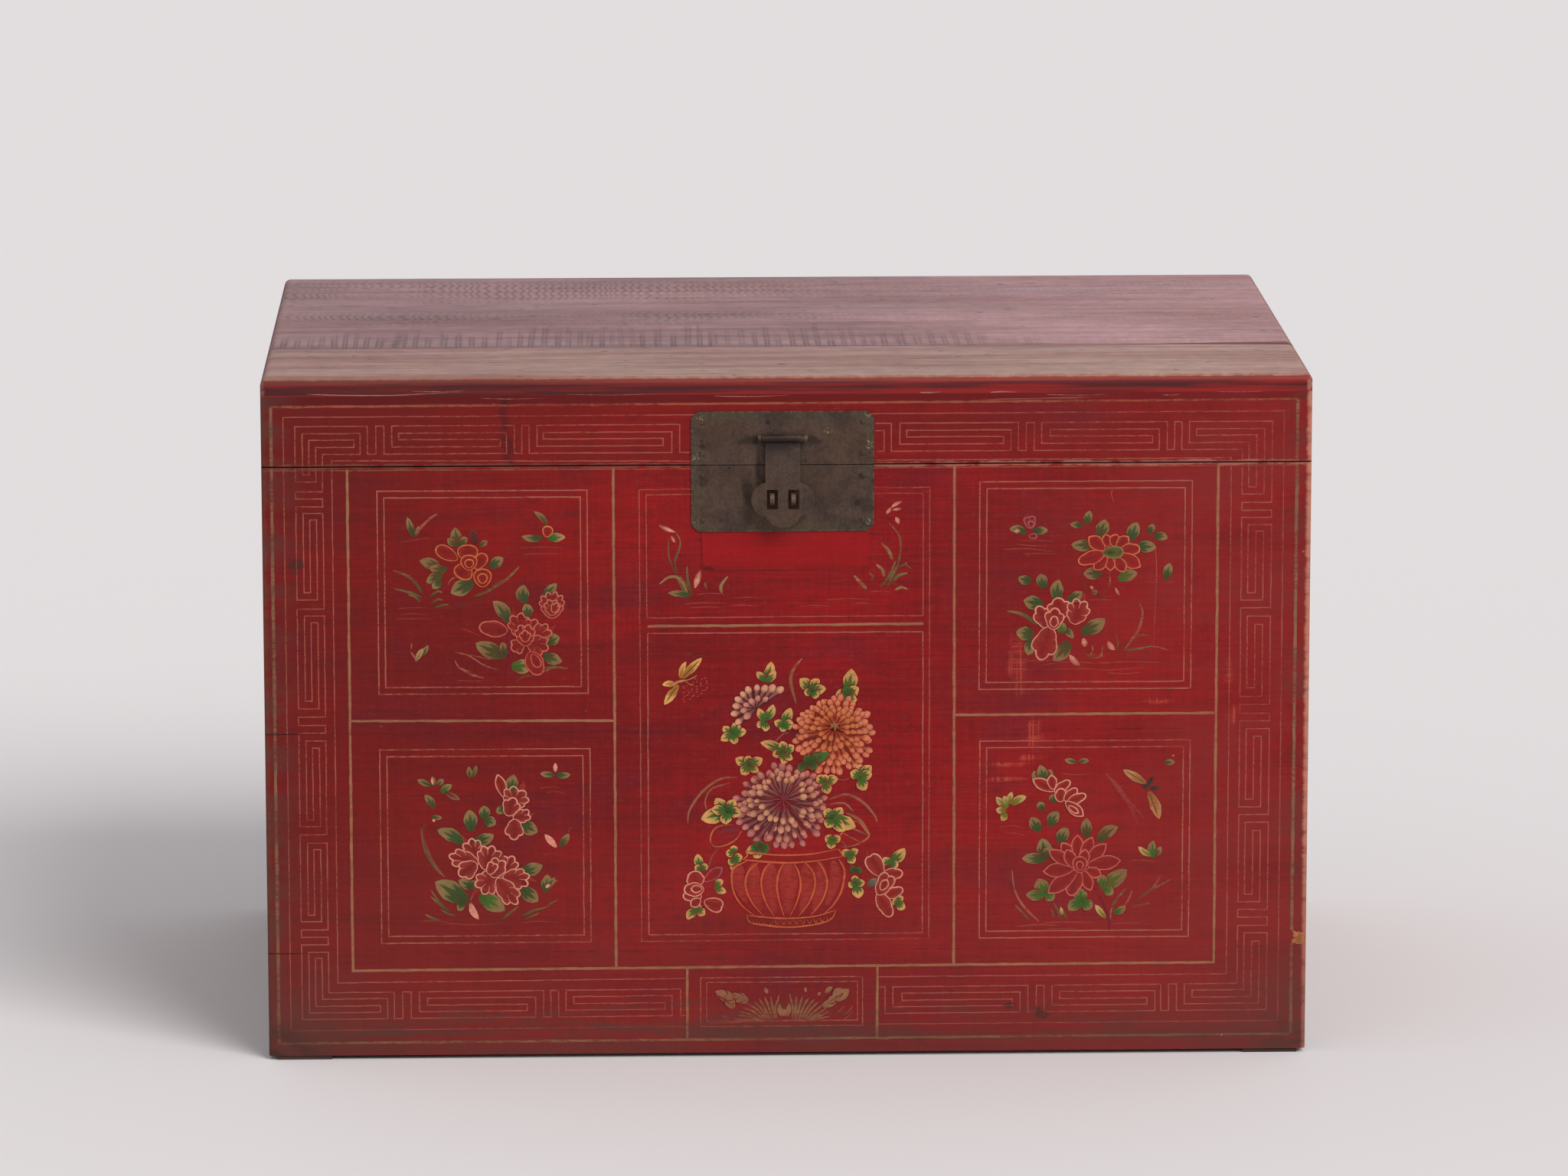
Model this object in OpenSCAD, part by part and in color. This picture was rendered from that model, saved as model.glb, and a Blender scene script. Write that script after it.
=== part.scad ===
// Painted chest: a lacquered board box on two low runners, with a shallow lid on two
// knuckle hinges behind, and in front a split lock plate whose lobed hasp drops over
// two padlock staples. The boards are dovetailed at the corners and the dovetails are
// lapped, so that the painted front shows no joint.
// The lid is drawn shut and the hasp hangs just clear of its staples. Millimetres,
// Z up, X to the right as seen from the front, front towards -Y. The origin is on the
// floor, under the middle of the overall outline.

/* [Box] */
// Width of the box along X
box_w = 860; // [600:1:1100]
// Depth of the box from its front face to its back face
box_d = 560; // [420:1:700]
// Height of the four walls
wall_h = 494.5; // [400:0.5:600]
// Thickness of the wall boards
wall_t = 18; // [15:0.5:24]
// Height of the lowest board of each wall
lower_board_h = 87; // [60:1:120]
// Height of the middle board of each wall
middle_board_h = 185; // [120:1:220]
// Rounding of the upright corners
corner_r = 4; // [1:0.5:4.5]

/* [Dovetails] */
// Length of a tail, shorter than the wall is thick
tail_l = 13; // [8:0.5:14]
// Width of a tail of the box at its root
tail_w = 22; // [12:1:28]
// Spacing that the tails of the box aim for
tail_pitch = 45; // [38:1:80]
// Width of a tail of the lid at its root
lid_tail_w = 14; // [8:1:18]
// Spacing that the tails of the lid aim for
lid_tail_pitch = 28; // [26:1:56]
// Slope of a tail's cheeks in degrees
tail_slope = 9; // [5:1:12]
// Glue line round each tail
glue_gap = 0.05; // [0.02:0.01:0.2]

/* [Bottom] */
// Thickness of the bottom boards
bottom_t = 12; // [8:0.5:16]
// Height of the bottom boards above the walls' lower edge
bottom_lift = 8.5; // [5:0.5:20]
// Depth of the groove that the bottom boards sit in
groove_depth = 6; // [3:0.5:9]
// Play of the bottom boards in their groove
groove_play = 0.3; // [0.1:0.05:1]

/* [Runners] */
// Height of the runners that shows under the walls
runner_show = 3.5; // [2:0.5:30]
// Width of each runner along X
runner_w = 45; // [30:1:80]
// Distance of a runner from the end of the box
runner_inset = 7; // [2:1:15]
// Distance of a runner's ends behind the front and back faces
runner_end_inset = 1.5; // [0:0.5:10]

/* [Lid] */
// Height of the lid
lid_h = 73; // [50:1:120]
// Thickness of the lid's top boards
top_t = 15; // [10:0.5:20]
// Thickness of the lid's rails
rail_t = 18; // [15:0.5:24]
// Gap between the box and the shut lid
seam_gap = 0.6; // [0.3:0.1:2]
// Rounding of the lid's top edges
lid_edge_r = 7; // [2:0.5:8]
// Rounding of the lid's upright corners
lid_corner_r = 4.5; // [1:0.5:4.5]
// Width of the lid's front top board
front_top_w = 157; // [120:1:260]
// Gap between the two top boards
top_gap = 0.4; // [0.2:0.1:2]
// Width of the split at the right end of the top boards' seam
split_w = 6; // [1:0.5:12]
// Length of that split
split_l = 112; // [20:1:300]

/* [Lock plate] */
// Distance of the lock's middle from the middle of the chest
lock_x = -4; // [-40:1:40]
// Width of the lock plate
plate_w = 149.5; // [110:0.5:200]
// Height of the plate's upper half, on the lid
upper_plate_h = 44; // [32:0.5:48]
// Height of the plate's lower half, on the box
lower_plate_h = 55; // [44:0.5:80]
// Thickness of the plate
plate_t = 1.2; // [0.8:0.1:2]
// Cant of the plate's four outer corners
plate_cant = 5.5; // [1:0.5:10]

/* [Hasp] */
// Height of the hasp's pivot above the lid's lower edge
hasp_axis_h = 22; // [14:0.5:26]
// Thickness of the hasp
hasp_t = 1.6; // [1:0.1:2]
// Width of the hasp's strap
strap_w = 28.6; // [20:0.2:34]
// Radius of the rolled barrel
barrel_r = 3; // [2.6:0.1:4]
// Length of the rolled barrel
barrel_l = 34.8; // [28:0.2:40]
// Radius of the hasp's pin
hasp_pin_r = 1.5; // [1:0.1:1.8]
// Clearance of the shut hasp from the lock plate
hasp_gap = 0.4; // [0.3:0.1:1]
// Radius of the two side lobes
lobe_r = 14; // [10:0.5:18]
// Distance of each side lobe from the middle
lobe_spread = 12; // [8:0.5:16]
// Radius of the round tip
tip_r = 15.5; // [10:0.5:20]
// Distance of the tip's centre below the staples
tip_drop = 7.5; // [4:0.5:14]
// Width of the slots over the staples
slot_w = 9; // [7:0.5:11]
// Height of the slots
slot_h = 16; // [14:0.5:18]
// Angle that the unhooked hasp stands off the plate, in degrees
hasp_swing = 11; // [11:0.5:30]

/* [Staples] */
// Distance of the staples' centres below the rim of the box
staple_drop = 27.2; // [24:0.2:34]
// Distance between the two staples
staple_pitch = 17.4; // [14:0.2:24]
// Radius of the staple's eye for the padlock bar
staple_eye_r = 3.2; // [2.5:0.1:3.2]
// Thickness of the staple's strip
staple_t = 2.2; // [1.4:0.1:2.2]
// Width of the staple's strip
staple_w = 3.6; // [2.4:0.1:4.5]
// Length of the staple's clinched legs
staple_leg_l = 14; // [8:0.5:20]

/* [Hasp eyes] */
// Thickness of the eye's strip
eye_t = 1.3; // [1:0.1:1.4]
// Width of the eye's strip
eye_w = 2.6; // [2:0.1:3.4]
// Length of the eye's clinched legs
eye_leg_l = 9; // [6:0.5:14]

/* [Hinges] */
// Distance of each hinge's middle from the middle of the chest
hinge_x = 270; // [150:1:340]
// Width of a hinge leaf
leaf_w = 60; // [40:1:90]
// Height of a hinge leaf
leaf_h = 36; // [24:1:46]
// Thickness of a hinge leaf
leaf_t = 1.6; // [1:0.1:2]
// Cant of a leaf's outer corners
leaf_cant = 5; // [1:0.5:10]
// Radius of the knuckles
knuckle_r = 3.2; // [2.6:0.1:5]
// Radius of the hinge pin
hinge_pin_r = 1.6; // [1:0.1:1.9]
// Gap between neighbouring knuckles
knuckle_gap = 0.3; // [0.2:0.05:0.8]
// Clearance of the knuckles from the back of the chest
knuckle_clear = 0.3; // [0.2:0.05:1]
// Radial play of the pins in their barrels
pin_play = 0.05; // [0.02:0.01:0.1]

/* [Nails and pegs] */
// Radius of a nail's shank
nail_r = 1; // [0.6:0.1:1.4]
// Length of a nail
nail_l = 14; // [8:0.5:14]
// Radius of a nail's head
nail_head_r = 2.2; // [1.6:0.1:3]
// Height of a nail's head
nail_head_h = 0.9; // [0.5:0.1:1.5]
// Distance of the plate's nails from its edges
nail_margin = 9; // [6:0.5:12]
// Radius of the pegs that hold the top boards
peg_r = 2.4; // [1.5:0.1:3.5]
// Length of those pegs
peg_l = 40; // [24:1:48]
// Distance that the pegs along the front and back rails aim for
peg_pitch = 170; // [90:5:300]
// Radius of the runner nails
runner_nail_r = 1.5; // [1:0.1:2.5]
// Radius of the runner nails' sunk heads
runner_head_r = 3.6; // [2.8:0.1:5]
// Depth of the sunk heads
runner_head_h = 1.5; // [1:0.1:1.5]
// Height that the runner nails reach above the runner's top
runner_nail_bite = 9; // [4:0.5:9]
// Number of nails along each runner
runner_nail_count = 6; // [3:1:12]
// Gap round nails, pegs and staple legs in the wood
hole_gap = 0.05; // [0.02:0.01:0.15]

/* [Hidden] */

$fn = 64;

// Finishes
lacquer = "#8e1f22";
faded_paint = "#8a6a66";
bare_wood = "#9c7a55";
dark_brass = "#4c4438";
iron = "#35302c";
bamboo = "#b08a55";

// How far a cut runs past the face that it opens
cut_over = 1;
// Slit between the two legs of a folded strip
leg_slit = 0.2;
// Knuckles on one hinge: the lower leaf holds the outer ones and the middle one
knuckle_count = 5;

// Heights of the wall boards and of their lower edges, from the lowest up
board_h = [lower_board_h, middle_board_h, wall_h - lower_board_h - middle_board_h];
board_z = [runner_show, runner_show + lower_board_h, runner_show + lower_board_h + middle_board_h];
rim_z = runner_show + wall_h;
lid_z = rim_z + seam_gap;
lid_top_z = lid_z + lid_h;
rail_h = lid_h - top_t;
inner_w = box_w - 2 * wall_t;
inner_d = box_d - 2 * wall_t;

// Bottom boards, which fill the space between the walls and their grooves
bottom_z = runner_show + bottom_lift;
bottom_w = inner_w + 2 * (groove_depth - groove_play);
bottom_d = inner_d + 2 * (groove_depth - groove_play);
bottom_board_d = (bottom_d - 2 * groove_play) / 3;

// Pivot of the hasp, and the outline that hangs from it
front_y = -box_d / 2;
back_y = box_d / 2;
hasp_stand = hasp_gap + barrel_r;
hasp_y = front_y - plate_t - hasp_stand;
hasp_z = lid_z + hasp_axis_h;
slot_s = hasp_axis_h + seam_gap + staple_drop;
tip_s = slot_s + tip_drop;
hasp_reach = tip_s + tip_r;
eye_pitch = barrel_l + eye_w + 2 * knuckle_gap;
pin_end = eye_pitch / 2 + eye_w / 2 + knuckle_gap;
pin_head_r = hasp_pin_r + 0.7;
pin_head_h = 0.9;

// Staples: the eye stands just proud of the shut hasp
staple_z = rim_z - staple_drop;
staple_stand = hasp_gap + hasp_t + 0.2 + staple_eye_r;

// Hinge axis, level with the seam and just behind the back face
hinge_y = back_y + knuckle_clear + knuckle_r;
hinge_z = rim_z + seam_gap / 2;
knuckle_l = (leaf_w - (knuckle_count - 1) * knuckle_gap) / knuckle_count;
leaf_start = knuckle_r + 2 * knuckle_gap;

// The overall outline runs from the hasp's tip to the back of the knuckles
front_reach = plate_t + hasp_stand - (barrel_r - hasp_t) * cos(hasp_swing) + hasp_reach * sin(hasp_swing);
back_reach = knuckle_clear + 2 * knuckle_r;
mid_y = (front_reach - back_reach) / 2;

// Puts a piece drawn about the middle of the box into the chest's own frame
module placed() { translate([0, mid_y, 0]) children(); }

// Draws a piece and its mirror image in X
module both_sides() {
    children();
    mirror([1, 0, 0]) children();
}

// Draws a piece and its mirror image in Y
module both_ends() {
    children();
    mirror([0, 1, 0]) children();
}

// What rounds an upright edge at the origin, for a solid towards +X and +Y
module round_upright(r, h) {
    difference() {
        translate([-cut_over, -cut_over, 0]) cube([r + cut_over, r + cut_over, h]);
        translate([r, r, -cut_over]) cylinder(r = r, h = h + 2 * cut_over);
    }
}

// What rounds an edge along X at the origin, for a solid towards +Y and -Z
module round_top_edge(r, l) {
    rotate([90, 0, 90]) linear_extrude(l) difference() {
        translate([-cut_over, -r]) square([r + cut_over, r + cut_over]);
        translate([r, -r]) circle(r);
    }
}

// A row of tails pointing along +U from U = 0, spread over a board of height h
module tail_row(h, root_w, pitch, grow) {
    count = max(1, floor(h / pitch));
    half_root = root_w / 2 + grow;
    half_tip = half_root + (tail_l + grow) * tan(tail_slope);
    for (i = [0 : count - 1])
        translate([0, (i + 0.5) * h / count])
            polygon([[-cut_over, -half_root], [0, -half_root], [tail_l + grow, -half_tip],
                     [tail_l + grow, half_tip], [0, half_root], [-cut_over, half_root]]);
}

// Sockets for the tails of both side boards, cut into a front board
module sockets(z, h, t, root_w, pitch) {
    both_sides()
        translate([-box_w / 2 - cut_over, front_y + t, z])
            mirror([0, 1, 0])
                rotate([90, 0, 90])
                    linear_extrude(t + cut_over + glue_gap)
                        tail_row(h, root_w, pitch, glue_gap);
}

// A board across the front, with sockets at its ends and rounded upright corners
module long_board(z, h, t, root_w, pitch, r) {
    difference() {
        translate([-box_w / 2, front_y, z]) cube([box_w, t, h]);
        sockets(z, h, t, root_w, pitch);
        both_sides()
            translate([-box_w / 2, front_y, z - cut_over]) round_upright(r, h + 2 * cut_over);
    }
}

// A board down the left side, with tails at both ends
module short_board(z, h, t, root_w, pitch) {
    translate([-box_w / 2, 0, z])
        rotate([90, 0, 90])
            linear_extrude(t)
                union() {
                    translate([-box_d / 2 + t, 0]) square([box_d - 2 * t, h]);
                    translate([box_d / 2 - t, 0]) tail_row(h, root_w, pitch, 0);
                    mirror([1, 0]) translate([box_d / 2 - t, 0]) tail_row(h, root_w, pitch, 0);
                }
}

// The space of the bottom boards with their play, which grooves the lowest wall boards
module bottom_space() {
    translate([-bottom_w / 2 - groove_play, -bottom_d / 2 - groove_play, bottom_z])
        cube([bottom_w + 2 * groove_play, bottom_d + 2 * groove_play, bottom_t + groove_play]);
}

module front_wall_board(i) { long_board(board_z[i], board_h[i], wall_t, tail_w, tail_pitch, corner_r); }
module side_wall_board(i) { short_board(board_z[i], board_h[i], wall_t, tail_w, tail_pitch); }

// A bottom board, counted from the front
module bottom_board(i) {
    color(bare_wood) placed()
        difference() {
            translate([-bottom_w / 2, -bottom_d / 2 + i * (bottom_board_d + groove_play), bottom_z])
                cube([bottom_w, bottom_board_d, bottom_t]);
            both_sides() runner_nail_places() cylinder(r = runner_nail_r + hole_gap, h = bottom_z + runner_nail_bite + hole_gap);
        }
}

// A runner: thin under the walls, thick between them, where it carries the bottom
module runner() {
    outer_x = box_w / 2 - runner_inset;
    thick_x = min(outer_x, inner_w / 2 - groove_play);
    length = box_d - 2 * runner_end_inset;
    thick_l = inner_d - 2 * groove_play;
    difference() {
        union() {
            translate([-outer_x, -length / 2, 0]) cube([runner_w, length, runner_show]);
            translate([-thick_x, -thick_l / 2, 0]) cube([runner_w - outer_x + thick_x, thick_l, bottom_z]);
        }
        runner_nail_places() {
            cylinder(r = runner_nail_r + hole_gap, h = bottom_z + cut_over);
            translate([0, 0, -cut_over]) cylinder(r = runner_head_r + hole_gap, h = runner_head_h + cut_over);
        }
    }
}

// Places of the nails along the left runner, spread over its thick stretch
module runner_nail_places() {
    nail_x = -(box_w / 2 - runner_inset - runner_w + inner_w / 2) / 2;
    step = inner_d / runner_nail_count;
    for (i = [0 : runner_nail_count - 1]) translate([nail_x, -inner_d / 2 + (i + 0.5) * step, 0]) children();
}

// A nail with a low head, its shank pointing along +Z from the face at Z = 0
module nail() {
    translate([0, 0, -nail_head_h]) cylinder(r1 = nail_head_r * 0.6, r2 = nail_head_r, h = nail_head_h);
    cylinder(r = nail_r, h = nail_l - nail_r);
    translate([0, 0, nail_l - nail_r]) cylinder(r1 = nail_r, r2 = nail_r * 0.3, h = nail_r);
}

// The hole that a nail fills
module nail_hole() {
    translate([0, 0, -cut_over]) cylinder(r = nail_r + hole_gap, h = nail_l + cut_over + hole_gap);
}

// A strip folded round an eye, its two legs driven through the wood and clinched behind.
// The eye is at the origin, stand is its distance from the plate, grip what the legs pass through.
module folded_eye(eye_r, t, w, stand, grip, leg_l) {
    inside = stand + grip;
    translate([-w / 2, 0, 0])
        rotate([90, 0, 90])
            linear_extrude(w)
                difference() {
                    union() {
                        circle(eye_r + t);
                        translate([0, -t]) square([inside + t, 2 * t]);
                        translate([inside, -leg_l]) square([t, 2 * leg_l]);
                    }
                    circle(eye_r);
                    translate([eye_r + t, -leg_slit / 2]) square([inside, leg_slit]);
                }
}

// The hole that the legs of a folded eye fill, running from the plate's front inwards
module leg_hole(t, w, grip) {
    translate([-w / 2 - hole_gap, -cut_over, -t - hole_gap])
        cube([w + 2 * hole_gap, grip + 2 * cut_over, 2 * (t + hole_gap)]);
}

// Places of the two staples, at the plate's front face
module staple_place(side) {
    translate([lock_x + side * staple_pitch / 2, front_y - plate_t, staple_z]) children();
}

// Places of the two eyes that carry the hasp, at the plate's front face
module eye_place(side) {
    translate([lock_x + side * eye_pitch / 2, front_y - plate_t, hasp_z]) children();
}

// Places of the nails in one half of the lock plate, z0 and h being its lower edge and height
module plate_nail_places(z0, h) {
    for (side = [-1, 1], level = [nail_margin, h - nail_margin])
        translate([lock_x + side * (plate_w / 2 - nail_margin), front_y - plate_t, z0 + level])
            rotate([-90, 0, 0]) children();
}

module upper_nail_places() { plate_nail_places(lid_z, upper_plate_h) children(); }
module lower_nail_places() { plate_nail_places(rim_z - lower_plate_h, lower_plate_h) children(); }

// A half plate of height h above Z = 0 with its two top corners canted
module half_plate(h) {
    half_w = plate_w / 2;
    translate([lock_x, front_y, 0])
        rotate([90, 0, 0])
            linear_extrude(plate_t)
                polygon([[-half_w, 0], [half_w, 0], [half_w, h - plate_cant], [half_w - plate_cant, h],
                         [plate_cant - half_w, h], [-half_w, h - plate_cant]]);
}

// One knuckle of a hinge, counted from the left
module knuckle(i) {
    translate([-leaf_w / 2 + i * (knuckle_l + knuckle_gap), 0, 0])
        rotate([0, 90, 0]) cylinder(r = knuckle_r, h = knuckle_l);
}

// The upper leaf of a hinge whose axis runs through the origin, with its knuckles i0, i0 + 2 and on.
// The leaf lies flat on the back of the chest and turns into each knuckle by a neck.
module leaf(i0) {
    flat_y = back_y - hinge_y;
    difference() {
        union() {
            translate([0, flat_y + leaf_t, 0]) rotate([90, 0, 0]) linear_extrude(leaf_t)
                polygon([[-leaf_w / 2, leaf_start], [leaf_w / 2, leaf_start],
                         [leaf_w / 2, leaf_h - leaf_cant], [leaf_w / 2 - leaf_cant, leaf_h],
                         [leaf_cant - leaf_w / 2, leaf_h], [-leaf_w / 2, leaf_h - leaf_cant]]);
            for (i = [i0 : 2 : knuckle_count - 1]) {
                knuckle(i);
                translate([-leaf_w / 2 + i * (knuckle_l + knuckle_gap), flat_y, seam_gap / 2])
                    cube([knuckle_l, leaf_t, leaf_start]);
            }
        }
        rotate([0, 90, 0]) translate([0, 0, -leaf_w]) cylinder(r = hinge_pin_r + pin_play, h = 2 * leaf_w);
        leaf_nail_places() nail_hole();
    }
}

// Places of the nails in an upper leaf, at the leaf's outer face
module leaf_nail_places() {
    edge = leaf_w / 2 - nail_margin;
    for (x = [-edge, edge], z = [leaf_start + nail_margin / 2, leaf_h - nail_margin])
        translate([x, back_y - hinge_y + leaf_t, z]) rotate([90, 0, 0]) children();
}

// The axis of one hinge
module hinge_place(side) { translate([side * hinge_x, hinge_y, hinge_z]) children(); }

// Turns an upper leaf into a lower one
module below() { mirror([0, 0, 1]) children(); }

// A pin through the whole of one hinge
module hinge_pin(side) {
    color(iron) placed() hinge_place(side)
        rotate([0, 90, 0]) translate([0, 0, -leaf_w / 2]) cylinder(r = hinge_pin_r, h = leaf_w);
}

// Everything that rounds the lid's top edges and upright corners
module lid_rounding() {
    both_ends() translate([-box_w / 2 - cut_over, front_y, lid_top_z])
        round_top_edge(lid_edge_r, box_w + 2 * cut_over);
    both_sides() translate([-box_w / 2, back_y + cut_over, lid_top_z])
        rotate([0, 0, -90]) round_top_edge(lid_edge_r, box_d + 2 * cut_over);
    both_ends() both_sides()
        translate([-box_w / 2, front_y, lid_z - cut_over]) round_upright(lid_corner_r, lid_h + 2 * cut_over);
}

module lid_long_rail() { long_board(lid_z, rail_h, rail_t, lid_tail_w, lid_tail_pitch, lid_corner_r); }
module lid_short_rail() { short_board(lid_z, rail_h, rail_t, lid_tail_w, lid_tail_pitch); }

// Pegs down through the top boards into the middle of the rails
module peg_places() {
    long_x = box_w / 2 - 2 * rail_t;
    count = max(2, round(2 * long_x / peg_pitch));
    both_ends() for (i = [0 : count])
        translate([-long_x + 2 * long_x * i / count, front_y + rail_t / 2, 0]) children();
    both_sides() for (y = [front_y + front_top_w / 2, front_top_w / 2, back_y - front_top_w / 2])
        translate([-box_w / 2 + rail_t / 2, y, 0]) children();
}

module peg_holes() {
    peg_places() translate([0, 0, lid_top_z - peg_l - hole_gap])
        cylinder(r = peg_r + hole_gap, h = peg_l + cut_over);
}

// The seam of the top boards, with the split that has opened at its right end
module front_top_outline() {
    seam_y = front_y + front_top_w;
    half_w = box_w / 2;
    polygon([[-half_w, front_y], [half_w, front_y], [half_w, seam_y - split_w],
             [half_w - split_l, seam_y - top_gap], [-half_w, seam_y - top_gap]]);
}

module front_board_lower() { color(lacquer) placed() difference() { front_wall_board(0); bottom_space(); } }
module front_board_middle() { color(lacquer) placed() front_wall_board(1); }
module front_board_upper() {
    color(lacquer) placed() difference() {
        front_wall_board(2);
        for (side = [-1, 1]) staple_place(side) leg_hole(staple_t, staple_w, plate_t + wall_t);
        lower_nail_places() nail_hole();
    }
}

module back_board_lower() {
    color(lacquer) placed() mirror([0, 1, 0]) difference() { front_wall_board(0); bottom_space(); }
}
module back_board_middle() { color(lacquer) placed() mirror([0, 1, 0]) front_wall_board(1); }
module back_board_upper() {
    color(lacquer) placed() difference() {
        mirror([0, 1, 0]) front_wall_board(2);
        for (side = [-1, 1]) hinge_place(side) below() leaf_nail_places() nail_hole();
    }
}

module left_board_lower() { color(lacquer) placed() difference() { side_wall_board(0); bottom_space(); } }
module left_board_middle() { color(lacquer) placed() side_wall_board(1); }
module left_board_upper() { color(lacquer) placed() side_wall_board(2); }
module right_board_lower() {
    color(lacquer) placed() mirror([1, 0, 0]) difference() { side_wall_board(0); bottom_space(); }
}
module right_board_middle() { color(lacquer) placed() mirror([1, 0, 0]) side_wall_board(1); }
module right_board_upper() { color(lacquer) placed() mirror([1, 0, 0]) side_wall_board(2); }

module bottom_board_front() { bottom_board(0); }
module bottom_board_middle() { bottom_board(1); }
module bottom_board_rear() { bottom_board(2); }

module left_runner() { color(bare_wood) placed() runner(); }
module right_runner() { color(bare_wood) placed() mirror([1, 0, 0]) runner(); }
module runner_nails() {
    color(iron) placed() both_sides() runner_nail_places() {
        cylinder(r = runner_head_r, h = runner_head_h);
        cylinder(r = runner_nail_r, h = bottom_z + runner_nail_bite);
    }
}

module lower_lock_plate() {
    color(dark_brass) placed() difference() {
        translate([0, 0, rim_z]) mirror([0, 0, 1]) half_plate(lower_plate_h);
        for (side = [-1, 1]) staple_place(side) leg_hole(staple_t, staple_w, plate_t);
        lower_nail_places() nail_hole();
    }
}
module staple(side) {
    color(dark_brass) placed() staple_place(side) translate([0, -staple_stand, 0])
        folded_eye(staple_eye_r, staple_t, staple_w, staple_stand, plate_t + wall_t, staple_leg_l);
}
module left_staple() { staple(-1); }
module right_staple() { staple(1); }
module lower_plate_nails() { color(dark_brass) placed() lower_nail_places() nail(); }

module left_hinge_lower_leaf() { color(dark_brass) placed() hinge_place(-1) below() leaf(0); }
module right_hinge_lower_leaf() { color(dark_brass) placed() hinge_place(1) below() leaf(0); }
module left_hinge_pin() { hinge_pin(-1); }
module right_hinge_pin() { hinge_pin(1); }
module hinge_lower_nails() {
    color(iron) placed() for (side = [-1, 1]) hinge_place(side) below() leaf_nail_places() nail();
}

module lid_front_rail() {
    color(lacquer) placed() difference() {
        lid_long_rail();
        for (side = [-1, 1]) eye_place(side) leg_hole(eye_t, eye_w, plate_t + rail_t);
        upper_nail_places() nail_hole();
        peg_holes();
    }
}
module lid_back_rail() {
    color(lacquer) placed() difference() {
        mirror([0, 1, 0]) lid_long_rail();
        for (side = [-1, 1]) hinge_place(side) leaf_nail_places() nail_hole();
        peg_holes();
    }
}
module lid_left_rail() { color(lacquer) placed() difference() { lid_short_rail(); peg_holes(); } }
module lid_right_rail() {
    color(lacquer) placed() difference() { mirror([1, 0, 0]) lid_short_rail(); peg_holes(); }
}
module lid_front_board() {
    color(faded_paint) placed() difference() {
        translate([0, 0, lid_top_z - top_t]) linear_extrude(top_t) front_top_outline();
        lid_rounding();
        peg_holes();
    }
}
module lid_rear_board() {
    color(faded_paint) placed() difference() {
        translate([-box_w / 2, front_y + front_top_w, lid_top_z - top_t])
            cube([box_w, box_d - front_top_w, top_t]);
        lid_rounding();
        peg_holes();
    }
}
module lid_pegs() {
    color(bamboo) placed() peg_places() translate([0, 0, lid_top_z - peg_l]) cylinder(r = peg_r, h = peg_l);
}

module upper_lock_plate() {
    color(dark_brass) placed() difference() {
        translate([0, 0, lid_z]) half_plate(upper_plate_h);
        for (side = [-1, 1]) eye_place(side) leg_hole(eye_t, eye_w, plate_t);
        upper_nail_places() nail_hole();
    }
}
module hasp_eye(side) {
    color(dark_brass) placed() eye_place(side) translate([0, -hasp_stand, 0])
        folded_eye(hasp_pin_r + pin_play, eye_t, eye_w, hasp_stand, plate_t + rail_t, eye_leg_l);
}
module left_hasp_eye() { hasp_eye(-1); }
module right_hasp_eye() { hasp_eye(1); }
module upper_plate_nails() { color(dark_brass) placed() upper_nail_places() nail(); }

module left_hinge_upper_leaf() { color(dark_brass) placed() hinge_place(-1) leaf(1); }
module right_hinge_upper_leaf() { color(dark_brass) placed() hinge_place(1) leaf(1); }
module hinge_upper_nails() {
    color(iron) placed() for (side = [-1, 1]) hinge_place(side) leaf_nail_places() nail();
}

// Outline of the hasp below its pivot: a strap, two side lobes and a round tip
module hasp_outline() {
    difference() {
        union() {
            translate([-strap_w / 2, -slot_s]) square([strap_w, slot_s]);
            for (side = [-1, 1]) translate([side * lobe_spread, -slot_s]) circle(lobe_r);
            translate([0, -tip_s]) circle(tip_r);
        }
        for (side = [-1, 1])
            translate([side * staple_pitch / 2 - slot_w / 2, -slot_s - slot_h / 2]) square([slot_w, slot_h]);
    }
}

// The hasp: its strap runs tangent into a rolled barrel, and it hangs swung out a little
module hasp() {
    color(dark_brass) placed()
        translate([lock_x, hasp_y, hasp_z]) rotate([-hasp_swing, 0, 0])
            difference() {
                union() {
                    translate([0, barrel_r, 0]) rotate([90, 0, 0]) linear_extrude(hasp_t) hasp_outline();
                    translate([-barrel_l / 2, 0, 0]) rotate([0, 90, 0]) cylinder(r = barrel_r, h = barrel_l);
                }
                translate([-barrel_l, 0, 0]) rotate([0, 90, 0])
                    cylinder(r = hasp_pin_r + pin_play, h = 2 * barrel_l);
            }
}
module hasp_pin() {
    color(dark_brass) placed() translate([lock_x, hasp_y, hasp_z]) {
        translate([-pin_end, 0, 0]) rotate([0, 90, 0]) cylinder(r = hasp_pin_r, h = 2 * pin_end);
        both_sides() translate([-pin_end - pin_head_h, 0, 0]) rotate([0, 90, 0])
            cylinder(r1 = hasp_pin_r, r2 = pin_head_r, h = pin_head_h);
    }
}

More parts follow.
